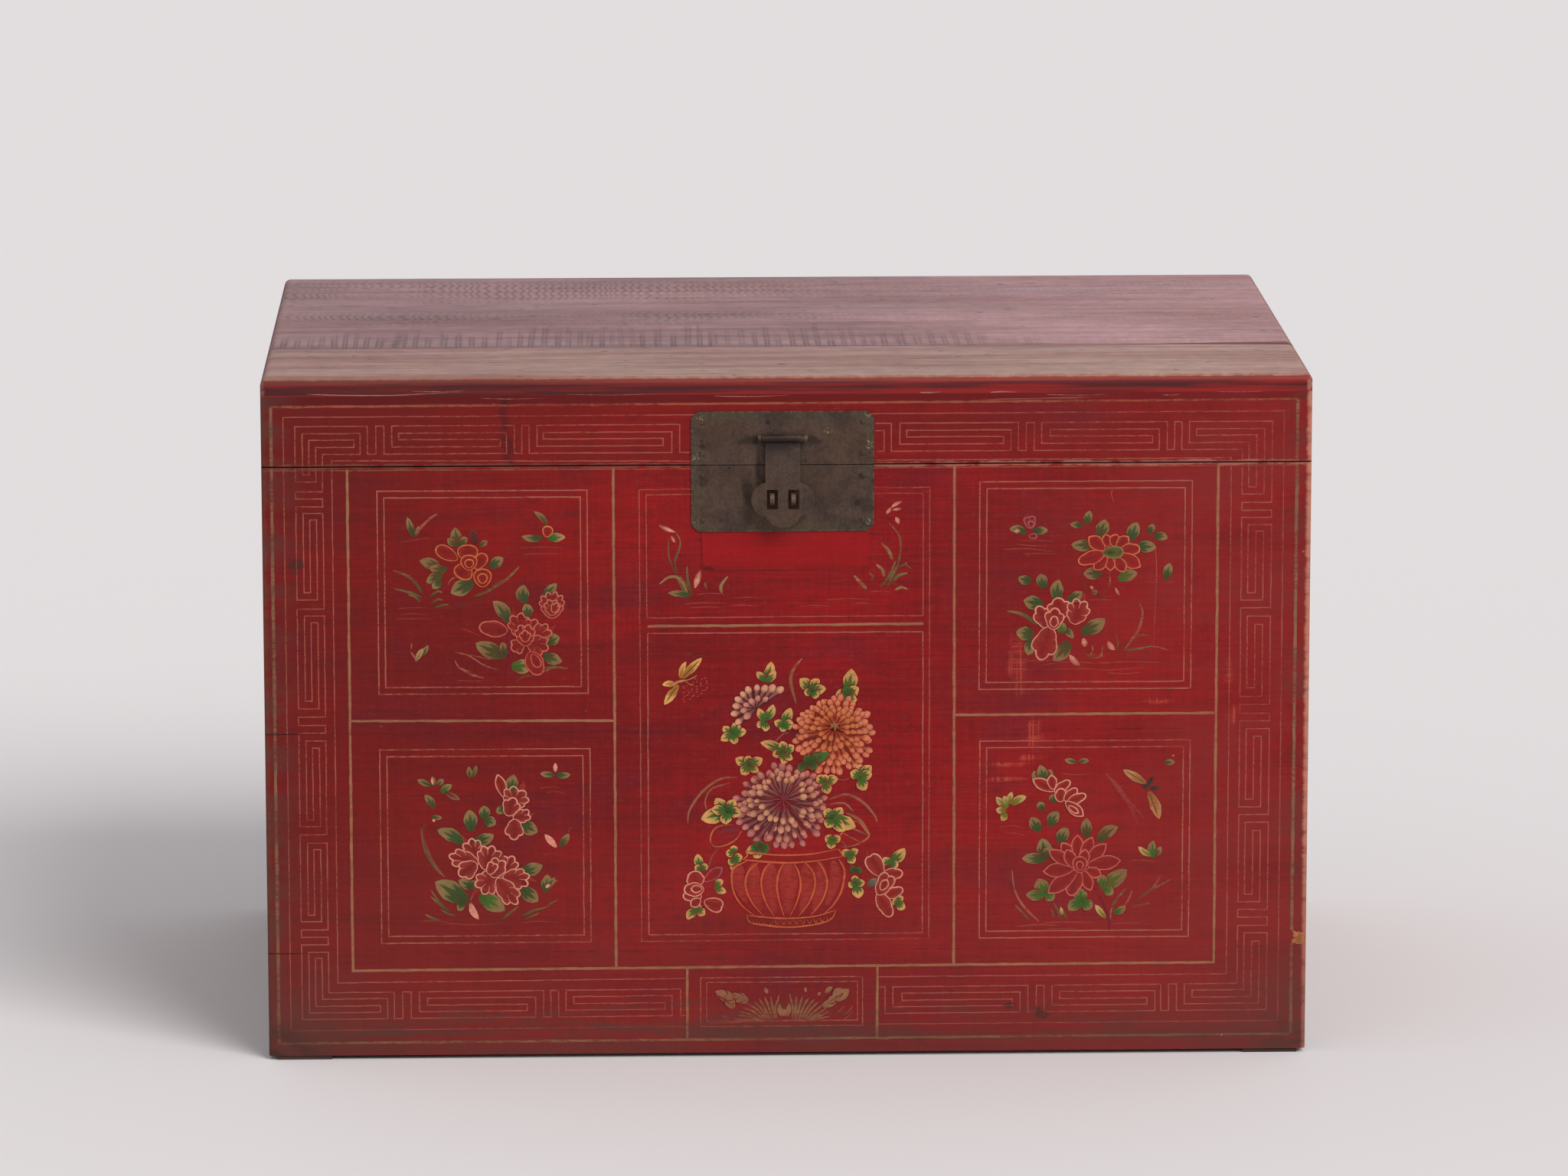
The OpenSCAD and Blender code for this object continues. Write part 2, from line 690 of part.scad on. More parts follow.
front_board_lower();
front_board_middle();
front_board_upper();
back_board_lower();
back_board_middle();
back_board_upper();
left_board_lower();
left_board_middle();
left_board_upper();
right_board_lower();
right_board_middle();
right_board_upper();
bottom_board_front();
bottom_board_middle();
bottom_board_rear();
left_runner();
right_runner();
runner_nails();
lower_lock_plate();
left_staple();
right_staple();
lower_plate_nails();
left_hinge_lower_leaf();
right_hinge_lower_leaf();
left_hinge_pin();
right_hinge_pin();
hinge_lower_nails();
lid_front_rail();
lid_back_rail();
lid_left_rail();
lid_right_rail();
lid_front_board();
lid_rear_board();
lid_pegs();
upper_lock_plate();
left_hasp_eye();
right_hasp_eye();
upper_plate_nails();
left_hinge_upper_leaf();
right_hinge_upper_leaf();
hinge_upper_nails();
hasp();
hasp_pin();
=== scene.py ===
import math
import random

import bpy
from mathutils import Euler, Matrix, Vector


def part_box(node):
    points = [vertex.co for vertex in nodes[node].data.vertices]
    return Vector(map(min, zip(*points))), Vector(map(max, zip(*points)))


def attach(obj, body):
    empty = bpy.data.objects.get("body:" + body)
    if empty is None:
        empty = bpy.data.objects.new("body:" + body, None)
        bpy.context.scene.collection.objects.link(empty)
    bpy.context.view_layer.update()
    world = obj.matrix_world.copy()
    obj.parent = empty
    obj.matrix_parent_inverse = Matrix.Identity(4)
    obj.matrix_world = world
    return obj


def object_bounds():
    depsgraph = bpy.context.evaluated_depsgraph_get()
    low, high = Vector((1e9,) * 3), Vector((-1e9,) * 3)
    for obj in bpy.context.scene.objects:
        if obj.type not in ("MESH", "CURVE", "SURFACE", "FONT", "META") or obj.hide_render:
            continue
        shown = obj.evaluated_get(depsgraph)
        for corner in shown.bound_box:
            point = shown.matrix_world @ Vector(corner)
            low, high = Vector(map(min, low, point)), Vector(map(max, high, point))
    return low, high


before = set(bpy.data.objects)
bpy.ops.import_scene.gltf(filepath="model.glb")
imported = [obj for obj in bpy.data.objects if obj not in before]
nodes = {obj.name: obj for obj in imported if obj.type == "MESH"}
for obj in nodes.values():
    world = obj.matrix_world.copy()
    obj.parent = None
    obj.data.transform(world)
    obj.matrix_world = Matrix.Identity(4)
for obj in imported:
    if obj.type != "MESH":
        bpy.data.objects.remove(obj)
cad_low, cad_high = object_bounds()


# ---- Camera
# The chest is seen from 6.4 m away with a long lens, a little from the left and from above,
# as in the photo. The place, turn and lens come from fitting the chest's corners to it.
viewer = bpy.data.cameras.new("camera")
viewer.sensor_width = 36.0
viewer.lens = 174.6
viewer.clip_start = 0.1
viewer.clip_end = 200.0
camera = bpy.data.objects.new("camera", viewer)
camera.location = (-0.175, -6.4018, 1.557)
camera.rotation_euler = Euler((math.radians(90 - 10.73), math.radians(0.06), math.radians(-1.62)))
bpy.context.scene.collection.objects.link(camera)
bpy.context.scene.camera = camera


# ---- Lacquered walls of the box and rails of the lid
# Softwood boards with a thin red lacquer outside, brushed along the grain, darker and smoky at the
# foot, rubbed through to tan wood along edges. Inside the wood is bare, as the joiner left it.
front_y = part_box("front_board_middle")[0].y
back_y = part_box("back_board_middle")[1].y
middle_y = (front_y + back_y) / 2
half_depth = (back_y - front_y) / 2
half_width = cad_high.x
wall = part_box("front_board_middle")[1].y - front_y
rim_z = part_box("front_board_upper")[1].z
lid_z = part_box("lid_front_rail")[0].z
top_z = cad_high.z
cracks_z = (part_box("front_board_lower")[1].z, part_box("front_board_middle")[1].z)
skin = 0.0006


def ink(red, green, blue):
    """A colour as a paint chart gives it, 0 to 255, in the renderer's own scale."""
    parts = []
    for part in (red, green, blue):
        share = part / 255
        parts.append(share / 12.92 if share < 0.04045 else ((share + 0.055) / 1.055) ** 2.4)
    return (*parts, 1.0)


class Finish:
    """One finish. Each method adds nodes and gives the socket that carries the result."""

    def __init__(self, name):
        """Also measures how far each place is from the ends, from the faces and from the corners."""
        self.material = bpy.data.materials.new(name)
        self.material.use_nodes = True
        self.tree = self.material.node_tree
        self.shader = self.tree.nodes["Principled BSDF"]
        spot = self.tree.nodes.new("ShaderNodeTexCoord")
        self.place = spot.outputs["Object"]
        split = self.tree.nodes.new("ShaderNodeSeparateXYZ")
        self.put(split.inputs[0], self.place)
        self.x, self.y, self.z = split.outputs
        self.from_end = self.less(half_width, self.math("ABSOLUTE", self.x))
        self.from_face = self.less(half_depth, self.apart(self.y, middle_y))
        self.corner = self.plus(self.from_end, self.from_face)
        self.on_front = self.fall(self.y, front_y + 0.001, front_y + 0.002)

    def put(self, socket, value):
        """Feeds a socket with what another socket carries, or with a plain value."""
        if isinstance(value, bpy.types.NodeSocket):
            self.tree.links.new(value, socket)
        else:
            socket.default_value = value

    def math(self, operation, *values):
        node = self.tree.nodes.new("ShaderNodeMath")
        node.operation = operation
        for socket, value in zip(node.inputs, values):
            self.put(socket, value)
        return node.outputs[0]

    def plus(self, a, b):
        return self.math("ADD", a, b)

    def less(self, a, b):
        return self.math("SUBTRACT", a, b)

    def apart(self, a, b):
        """How far a is from b, whichever is the greater."""
        return self.math("ABSOLUTE", self.less(a, b))

    def times(self, *values):
        result = values[0]
        for value in values[1:]:
            result = self.math("MULTIPLY", result, value)
        return result

    def most(self, *values):
        result = values[0]
        for value in values[1:]:
            result = self.math("MAXIMUM", result, value)
        return result

    def grade(self, value, low, high, start=0.0, end=1.0):
        """start where value is at low, end where it is at high, and smooth between."""
        node = self.tree.nodes.new("ShaderNodeMapRange")
        node.interpolation_type = "SMOOTHSTEP"
        for socket, given in zip(node.inputs, (value, low, high, start, end)):
            self.put(socket, given)
        return node.outputs[0]

    def fall(self, value, low, high):
        """1 where the value is at low or less, 0 where it is at high or more."""
        return self.grade(value, low, high, 1.0, 0.0)

    def band(self, value, low, high, soft):
        """1 between low and high, 0 outside, over a soft edge."""
        rise = self.grade(value, low - soft, low + soft)
        return self.times(rise, self.fall(value, high - soft, high + soft))

    def oval(self, x, z, wide, high):
        """How far from a place on the front: 1 at the rim of an oval so wide and so high."""
        near_x = self.math("DIVIDE", self.less(self.x, x), wide)
        near_z = self.math("DIVIDE", self.less(self.z, z), high)
        return self.math("SQRT", self.plus(self.times(near_x, near_x), self.times(near_z, near_z)))

    def scattered(self, across, seed):
        """The place that random patterns go by, across times per metre along x, y and z."""
        node = self.tree.nodes.new("ShaderNodeVectorMath")
        node.operation = "MULTIPLY_ADD"
        self.put(node.inputs[0], self.place)
        node.inputs[1].default_value = across
        node.inputs[2].default_value = (seed * 7.31, seed * 3.17, seed * 5.53)
        return node.outputs[0]

    def cloud(self, across, seed, detail=2.0, rough=0.5):
        """Random light and shade, across times per metre along x, y and z."""
        made = self.tree.nodes.new("ShaderNodeTexNoise")
        self.put(made.inputs["Vector"], self.scattered(across, seed))
        made.inputs["Scale"].default_value = 1.0
        made.inputs["Detail"].default_value = detail
        made.inputs["Roughness"].default_value = rough
        return made.outputs[0]

    def spots(self, across, seed, size, share):
        """Small round specks: size is their radius in cells, share how many cells have one."""
        cells = self.tree.nodes.new("ShaderNodeTexVoronoi")
        self.put(cells.inputs["Vector"], self.scattered(across, seed))
        cells.inputs["Scale"].default_value = 1.0
        chosen = self.tree.nodes.new("ShaderNodeSeparateColor")
        self.put(chosen.inputs[0], cells.outputs["Color"])
        near = self.fall(cells.outputs["Distance"], size * 0.6, size)
        return self.times(near, self.math("LESS_THAN", chosen.outputs[0], share))

    def mix(self, share, a, b):
        node = self.tree.nodes.new("ShaderNodeMix")
        node.data_type = "RGBA"
        self.put(node.inputs[0], share)
        self.put(node.inputs[6], a)
        self.put(node.inputs[7], b)
        return node.outputs[2]

    def shade(self, colour, value):
        """The colour made lighter or darker by value, which is 1 where it stays."""
        node = self.tree.nodes.new("ShaderNodeVectorMath")
        node.operation = "SCALE"
        self.put(node.inputs[0], colour)
        self.put(node.inputs["Scale"], value)
        return node.outputs[0]

    def show(self, colour, roughness, relief, depth, shine=0.5, metal=0.0):
        """The finish as it is seen. depth is how many metres the relief stands up."""
        self.put(self.shader.inputs["Base Color"], colour)
        self.put(self.shader.inputs["Roughness"], roughness)
        self.shader.inputs["Specular IOR Level"].default_value = shine
        self.shader.inputs["Metallic"].default_value = metal
        bump = self.tree.nodes.new("ShaderNodeBump")
        bump.inputs["Strength"].default_value = 1.0
        bump.inputs["Distance"].default_value = depth
        self.put(bump.inputs["Height"], relief)
        self.put(self.shader.inputs["Normal"], bump.outputs[0])

    def lay_on(self, *names):
        """Covers these pieces with the finish."""
        for name in names:
            nodes[name].data.materials.clear()
            nodes[name].data.materials.append(self.material)


def bare_wood(f, fine, wide):
    """Old softwood without any finish. fine and wide are how close its grain lies along x, y, z."""
    stripes = f.cloud(fine, 21, 3.0)
    broad = f.cloud(wide, 22, 2.0)
    colour = f.mix(f.grade(stripes, 0.35, 0.65), ink(120, 84, 54), ink(158, 118, 80))
    colour = f.mix(f.grade(broad, 0.4, 0.7, 0.0, 0.5), colour, ink(104, 74, 52))
    return colour, stripes


def red_lacquer(name, painted=False):
    f = Finish(name)
    clouds = f.cloud((5, 5, 7), 1, 3.0)
    streaks = f.cloud((2.0, 2.0, 46), 2, 4.0, 0.6)
    brush = f.cloud((18, 18, 620), 3, 3.0, 0.65)
    upright = f.cloud((380, 380, 12), 4, 3.0, 0.6)
    mottle = f.cloud((90, 90, 150), 12, 4.0, 0.65)
    dull = f.cloud((11, 11, 20), 5, 3.0, 0.6)
    colour = f.mix(f.grade(clouds, 0.35, 0.68), ink(118, 14, 17), ink(137, 15, 17))
    colour = f.mix(f.grade(dull, 0.5, 0.72, 0.0, 0.55), colour, ink(98, 22, 33))
    colour = f.mix(f.grade(streaks, 0.46, 0.72, 0.0, 0.38), colour, ink(88, 18, 21))
    colour = f.mix(f.grade(streaks, 0.3, 0.46, 0.25, 0.0), colour, ink(150, 17, 17))
    flecks = f.cloud((170, 170, 260), 15, 3.0, 0.7)
    colour = f.mix(f.grade(flecks, 0.52, 0.74, 0.0, 0.42), colour, ink(112, 46, 38))
    colour = f.mix(f.grade(mottle, 0.5, 0.74, 0.0, 0.42), colour, ink(82, 16, 18))
    colour = f.shade(colour, f.grade(brush, 0.25, 0.75, 0.84, 1.14))
    colour = f.shade(colour, f.grade(upright, 0.3, 0.7, 0.93, 1.06))
    colour = f.shade(colour, f.grade(f.x, -0.43, -0.02, 0.82, 1.0))
    colour = f.mix(f.grade(f.x, -0.4, 0.0, 0.3, 0.0), colour, ink(92, 30, 20))
    faded = f.times(f.grade(f.x, 0.14, 0.38, 0.2, 1.0), f.grade(f.x, 0.1, 0.14))
    faded = f.times(faded, f.grade(dull, 0.35, 0.6, 0.2, 0.55))
    colour = f.mix(faded, colour, ink(130, 40, 36))
    dusty = f.times(f.grade(f.z, 0.03, 0.27, 0.42, 0.0), f.grade(dull, 0.3, 0.6, 1.0, 0.6))
    colour = f.mix(dusty, colour, ink(106, 46, 42))

    # Pale rubs run down the right side of the front, where things have scraped past it.
    rubs = []
    for x, z, wide, high in (
        (0.19, 0.33, 0.0095, 0.028), (0.204, 0.272, 0.007, 0.017), (0.305, 0.2985, 0.014, 0.003),
        (0.3635, 0.323, 0.004, 0.014), (0.366, 0.2865, 0.0055, 0.009), (0.181, 0.2465, 0.022, 0.0022),
        (0.18, 0.234, 0.018, 0.0025), (0.2, 0.252, 0.014, 0.003),
    ):
        near = f.plus(f.oval(x, z, wide, high), f.grade(mottle, 0.3, 0.7, -0.3, 0.3))
        rubs.append(f.fall(near, 0.2, 1.1))
    torn = f.most(f.grade(upright, 0.47, 0.6), f.grade(brush, 0.5, 0.66), 0.12)
    colour = f.mix(f.times(f.most(*rubs), torn, f.on_front, 0.85), colour, ink(170, 66, 52))

    # A brighter patch below the lock plate, where a larger plate once kept the light off.
    older_left, older_right, older_foot, older_head = -0.0705, 0.066, 0.4135, 0.446
    older_wide = f.band(f.x, older_left, older_right, 0.002)
    older_high = f.band(f.z, older_foot, older_head, 0.0016)
    colour = f.mix(f.times(older_wide, older_high, f.on_front, 0.5), colour, ink(146, 15, 19))

    # The lid is a little browner, its top edge darker still. A dark dribble runs down it at the left.
    on_lid = f.grade(f.z, lid_z - 0.0003, lid_z, 0.0, 1.0)
    colour = f.mix(f.times(on_lid, f.grade(f.x, -0.3, 0.3, 0.5, 0.15)), colour, ink(96, 22, 18))
    edge_low, edge_full = 0.5488, 0.5505
    high = f.grade(f.plus(f.z, f.grade(mottle, 0.3, 0.7, -0.001, 0.001)), edge_low, edge_full)
    colour = f.mix(f.times(high, f.grade(f.x, -0.3, 0.35, 0.7, 0.4)), colour, ink(80, 15, 15))
    dribble = f.plus(f.x, f.grade(f.cloud((40, 40, 40), 14, 3.0), 0.3, 0.7, -0.005, 0.005))
    stain_left, stain_right = -0.2315, -0.2245
    stain = f.times(f.band(dribble, stain_left, stain_right, 0.0035), on_lid, f.on_front)
    colour = f.mix(f.times(stain, f.grade(mottle, 0.3, 0.6, 0.25, 0.6)), colour, ink(48, 18, 20))

    # The back was lacquered thinly and has gone dull.
    behind = f.grade(f.y, back_y - 0.012, back_y - 0.006)
    colour = f.mix(f.times(behind, 0.6), colour, ink(70, 24, 22))

    # Ornament shows where the mesh is painted, worn away in small flecks down to the red.
    if painted:
        laid = f.tree.nodes.new("ShaderNodeAttribute")
        laid.attribute_name = "paint"
        rubbed = f.cloud((150, 150, 420), 31, 4.0, 0.7)
        patches = f.cloud((9, 9, 16), 32, 2.0)
        least = f.grade(laid.outputs["Alpha"], 0.925, 0.945, 0.3, 0.72)
        kept = f.grade(f.plus(rubbed, f.grade(patches, 0.3, 0.7, -0.12, 0.12)), 0.36, 0.55, least, 1.0)
        tone = f.shade(laid.outputs["Color"], f.grade(mottle, 0.25, 0.75, 1.12, 0.86))
        colour = f.mix(f.times(kept, laid.outputs["Alpha"]), colour, tone)

    # Smoke and damp have dulled the foot of the chest, most at the corners.
    from_foot = f.plus(f.times(f.corner, 0.85), f.z)
    damp = f.cloud((26, 26, 40), 6, 4.0, 0.6)
    splash = f.cloud((6, 6, 130), 13, 3.0, 0.6)
    smoke = f.times(f.grade(from_foot, 0.01, 0.16, 0.95, 0.0), f.grade(damp, 0.3, 0.6, 0.35, 1.0))
    grit = f.cloud((34, 34, 240), 16, 4.0, 0.7)
    above_foot = f.plus(f.z, f.grade(grit, 0.3, 0.7, -0.011, 0.011))
    low = f.times(f.fall(above_foot, 0.012, 0.055), f.grade(f.z, 0.009, 0.017, 0.55, 1.0))
    low = f.times(low, f.grade(splash, 0.36, 0.58, 0.22, 0.95), f.grade(f.x, -0.02, 0.25, 1.0, 0.7))
    run = f.times(f.band(f.z, 0.011, 0.0195, 0.003), f.grade(f.x, 0.2, 0.4), f.grade(grit, 0.36, 0.56))
    side_most = f.grade(f.x, -0.3, 0.3, 0.7, 0.5)
    sides = f.times(f.fall(f.corner, 0.0, 0.042), f.grade(damp, 0.36, 0.64, 0.0, side_most))
    heel = f.times(f.grade(from_foot, 0.018, 0.085, 0.95, 0.0), f.grade(grit, 0.36, 0.54, 0.35, 1.0))
    dirt = f.times(f.most(f.times(smoke, 0.9), low, sides, run, heel), 0.8 if painted else 1.0)
    colour = f.mix(dirt, colour, ink(82, 48, 42))
    soot = f.times(f.grade(from_foot, 0.004, 0.06, 0.75, 0.0), f.grade(damp, 0.42, 0.6))
    soot = f.times(soot, f.grade(grit, 0.3, 0.55, 0.6, 1.0))
    colour = f.mix(soot, colour, ink(40, 30, 28))

    # Three small dark blots lie on the front.
    blots = []
    for x, z, size in ((0.184, 0.041, 0.006), (0.208, 0.034, 0.008), (-0.403, 0.416, 0.009)):
        near = f.plus(f.plus(f.apart(f.x, x), f.apart(f.z, z)), f.grade(mottle, 0.3, 0.7, -0.004, 0.004))
        blots.append(f.fall(near, size * 0.5, size * 1.1))
    colour = f.mix(f.times(f.most(*blots), f.on_front, 0.6), colour, ink(48, 36, 30))

    # Cracks have opened at the left ends of the two board joints, and a dark line of painted shade runs
    # along the lid's seam.
    broken = f.cloud((90, 90, 1), 7, 2.0)
    left_end = f.fall(f.x, -0.41, -0.392)
    # The band along the lid's seam is painted shade under the lid's edge.
    cracks_and_seam_shade = [f.times(f.band(f.z, rim_z - 0.0004, lid_z + 0.0005, 0.0003), 0.95)]
    for z in cracks_z:
        slot = f.times(f.band(f.z, z - 0.0005, z + 0.0005, 0.0004), 0.85)
        hair = f.band(f.z, z - 0.0004, z + 0.0004, 0.0004)
        cracks_and_seam_shade.append(f.times(slot, left_end))
        cracks_and_seam_shade.append(f.times(hair, f.grade(broken, 0.5, 0.62, 0.0, 0.45)))
    crack_and_seam_shade = f.most(*cracks_and_seam_shade)

    # Edges are rubbed through to the wood, and small chips are scattered over the front.
    ragged = f.cloud((60, 60, 140), 8, 4.0, 0.65)
    to_right = f.grade(f.x, -0.3, 0.3, 0.6, 1.0)
    to_right = f.times(to_right, f.grade(f.z, 0.02, 0.24, 0.55, 1.0))
    reach = f.less(f.corner, f.times(f.grade(ragged, 0.3, 0.7, 0.001, 0.0026), to_right))
    rubbed_corner = f.times(f.fall(reach, 0.0004, 0.0036), f.grade(ragged, 0.25, 0.5, 0.5, 0.95), to_right)
    from_seam = f.apart(f.z, (rim_z + lid_z) / 2)
    seam = f.less(from_seam, f.grade(ragged, 0.4, 0.7, 0.0, 0.0012))
    rubbed_seam = f.times(f.grade(seam, 0.0008, 0.0022, 0.62, 0.0), f.grade(ragged, 0.36, 0.52))
    chips = f.times(f.spots((95, 95, 120), 9, 0.13, 0.04), f.grade(ragged, 0.45, 0.6, 0.0, 0.7))
    scratch = f.cloud((9, 9, 330), 10, 2.0, 0.4)
    scraped = f.times(f.grade(scratch, 0.68, 0.74), high, 0.45)

    # A chip has been knocked out of the front near the right corner, down to the wood.
    knock = f.cloud((120, 120, 120), 11, 3.0)
    knocked_x, knocked_z = 0.4235, 0.0985
    chip_x = f.less(f.apart(f.x, knocked_x), f.grade(knock, 0.35, 0.65, -0.0026, 0.002))
    chip_z = f.less(f.apart(f.z, knocked_z), f.grade(knock, 0.35, 0.65, 0.0024, -0.0024))
    missing = f.times(f.fall(chip_x, 0.0055, 0.0065), f.fall(chip_z, 0.005, 0.006))
    missing = f.times(missing, f.fall(f.y, front_y + 0.006, front_y + 0.008))

    worn = f.most(rubbed_corner, rubbed_seam, chips, scraped)
    bare = f.mix(f.grade(f.x, -0.2, 0.2), ink(122, 72, 54), ink(180, 120, 98))
    colour = f.mix(f.times(worn, 0.8), colour, bare)
    splinters = f.mix(f.grade(knock, 0.4, 0.6), ink(134, 78, 48), ink(166, 108, 68))
    colour = f.mix(missing, colour, splinters)
    # The cracks and the painted shade along the seam go on dark.
    colour = f.mix(f.times(crack_and_seam_shade, 0.9), colour, ink(26, 11, 10))

    # Inside, the boards are bare.
    inner_x = f.grade(f.from_end, wall - skin, wall - skin / 2)
    inner_y = f.grade(f.from_face, wall - skin, wall - skin / 2)
    inside = f.times(inner_x, inner_y)
    wood, grain = bare_wood(f, (7, 7, 230), (1.5, 1.5, 30))
    colour = f.mix(inside, colour, wood)

    relief = f.plus(f.times(brush, 0.5), f.times(mottle, 0.35))
    relief = f.less(relief, f.times(f.most(missing, f.times(worn, 0.4), crack_and_seam_shade), 0.9))
    relief = f.plus(relief, f.times(inside, grain, 0.5))
    roughness = f.plus(f.grade(streaks, 0.3, 0.7, 0.44, 0.58), f.times(f.most(worn, inside), 0.25))
    f.show(colour, roughness, relief, 0.00016, shine=0.14)
    return f


lacquer = red_lacquer("red_lacquer")
for side in ("front", "back", "left", "right"):
    for board in ("board_lower", "board_middle", "board_upper"):
        lacquer.lay_on(f"{side}_{board}")
    lacquer.lay_on(f"lid_{side}_rail")


# ---- Lid top
# Two boards, lacquered once and now faded to mauve grey. The wide one has ripple figure across
# its grain, darkest just behind the seam; the narrow front one is rubbed to tan. Pegs hold both.
seam_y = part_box("lid_front_board")[1].y


def faded_top(name):
    f = Finish(name)
    behind_seam = f.less(f.y, seam_y)
    on_rear = f.grade(behind_seam, -0.0004, 0.0004)
    clouds = f.cloud((3.5, 7, 7), 41, 3.0)
    streaks = f.cloud((3.5, 46, 46), 42, 4.0, 0.6)
    grain = f.cloud((9, 330, 330), 43, 3.0, 0.6)
    dust = f.cloud((70, 70, 70), 44, 4.0, 0.65)
    colour = f.mix(f.grade(clouds, 0.35, 0.65), ink(134, 98, 101), ink(158, 118, 120))
    colour = f.mix(f.grade(streaks, 0.5, 0.7, 0.0, 0.6), colour, ink(132, 90, 84))
    colour = f.mix(f.grade(streaks, 0.3, 0.44, 0.5, 0.0), colour, ink(146, 116, 124))
    tan = f.mix(f.grade(streaks, 0.4, 0.65), ink(160, 126, 112), ink(140, 100, 90))
    tan = f.mix(f.grade(grain, 0.55, 0.75, 0.0, 0.6), tan, ink(140, 82, 70))
    ground = f.cloud((22, 60, 60), 56, 3.0, 0.6)
    into_tan = f.plus(behind_seam, f.grade(ground, 0.3, 0.7, -0.022, 0.022))
    colour = f.mix(f.grade(into_tan, -0.034, 0.02, 0.88, 0.1), colour, tan)

    # Ripple figure: pairs of short dark ribs stand across the grain behind the seam, long in the
    # middle and short at the left. Fine zigzags of the same figure lie further back.
    sway = f.cloud((8, 0.4, 0.4), 45, 2.0)
    sway_fine = f.cloud((70, 0.6, 0.6), 46, 2.0)
    along = f.plus(f.x, f.plus(f.times(sway, 0.055), f.times(sway_fine, 0.009)))
    rib_pitch, zigzag_pitch = 0.0106, 0.0068
    wave = f.math("SINE", f.times(along, 2 * math.pi / rib_pitch))
    ribs = f.times(f.grade(wave, -0.5, 0.45), f.grade(wave, 0.8, 1.0, 1.0, 0.45))
    strength = f.cloud((60, 6, 1), 47, 3.0, 0.6)
    ragged = f.cloud((95, 0.5, 0.5), 48, 2.0)
    middle = f.grade(f.apart(f.x, -0.09), 0.06, 0.28, 1.0, 0.72)
    length = f.times(f.grade(ragged, 0.3, 0.7, 0.085, 0.14), middle)
    near_seam = f.times(f.fall(f.less(behind_seam, length), -0.03, 0.002), on_rear)
    near_seam = f.times(near_seam, f.grade(behind_seam, 0.0, 0.06, 1.0, 0.55))
    to_right = f.grade(f.x, 0.02, 0.3, 1.0, 0.15)
    dark_ribs = f.times(ribs, f.grade(strength, 0.36, 0.56, 0.4, 1.0), near_seam, to_right)
    dark_ribs = f.times(dark_ribs, f.grade(grain, 0.32, 0.56, 0.5, 1.0))
    row = f.math("PINGPONG", behind_seam, 0.016)
    zigzag = f.math("SINE", f.times(f.plus(along, f.times(row, 0.22)), 2 * math.pi / zigzag_pitch))
    far = f.most(f.band(behind_seam, 0.13, 0.19, 0.02), f.band(behind_seam, 0.26, 0.37, 0.03))
    covered = f.grade(f.cloud((7, 16, 1), 54, 2.0), 0.32, 0.52)
    far = f.times(far, f.grade(f.x, -0.1, 0.1, 1.0, 0.2), covered)
    light_ribs = f.times(f.grade(zigzag, 0.0, 0.9), far)
    # A band of painted shadow lies along the seam on the rear board, strongest at the left.
    shadow = f.times(f.band(behind_seam, -0.001, 0.012, 0.01), f.grade(clouds, 0.3, 0.6, 0.3, 1.0))
    shadow = f.times(shadow, to_right, 0.5)
    figure_and_shadow = f.most(f.times(dark_ribs, 0.88), f.times(light_ribs, 0.55), shadow)
    colour = f.mix(figure_and_shadow, colour, ink(84, 56, 55))

    colour = f.shade(colour, f.grade(grain, 0.25, 0.75, 0.79, 1.17))
    colour = f.shade(colour, f.grade(dust, 0.3, 0.7, 0.9, 1.08))
    specks = f.most(f.spots((34, 44, 30), 49, 0.16, 0.16), f.spots((80, 110, 70), 50, 0.22, 0.07))
    colour = f.mix(f.times(specks, 0.65), colour, ink(78, 48, 48))

    # The joint between the boards stands open at its right end. A dark band painted on the rear board
    # behind it stands for the shaded step in the opening, and a pale band on the front board's lip is a
    # painted highlight.
    opening = f.grade(f.x, 0.22, 0.43, -0.002, 0.012)
    gap = f.fall(f.less(behind_seam, opening), -0.0012, 0.0006)
    gap = f.times(gap, f.grade(behind_seam, -0.001, 0.0))
    # Painted highlight along the lip in front of the open joint.
    lip_highlight = f.times(f.band(behind_seam, -0.009, -0.002, 0.002), f.grade(f.x, 0.28, 0.36))
    colour = f.mix(f.times(lip_highlight, 0.5), colour, ink(184, 156, 146))
    colour = f.mix(f.times(gap, 0.9), colour, ink(92, 32, 34))
    seam_dirt = f.times(f.band(behind_seam, -0.0012, 0.0016, 0.001), f.grade(strength, 0.35, 0.6, 0.2, 0.8))
    colour = f.mix(seam_dirt, colour, ink(84, 50, 50))
    colour = f.shade(colour, f.grade(f.x, -0.43, 0.0, f.grade(on_rear, 0.0, 1.0, 0.98, 0.88), 1.02))
    colour = f.shade(colour, f.grade(f.x, 0.0, 0.36, 1.0, f.grade(on_rear, 0.0, 1.0, 1.12, 1.38)))
    hairs = f.cloud((26, 260, 260), 51, 3.0, 0.7)
    colour = f.mix(f.times(f.grade(hairs, 0.6, 0.68), 0.55), colour, ink(84, 56, 56))

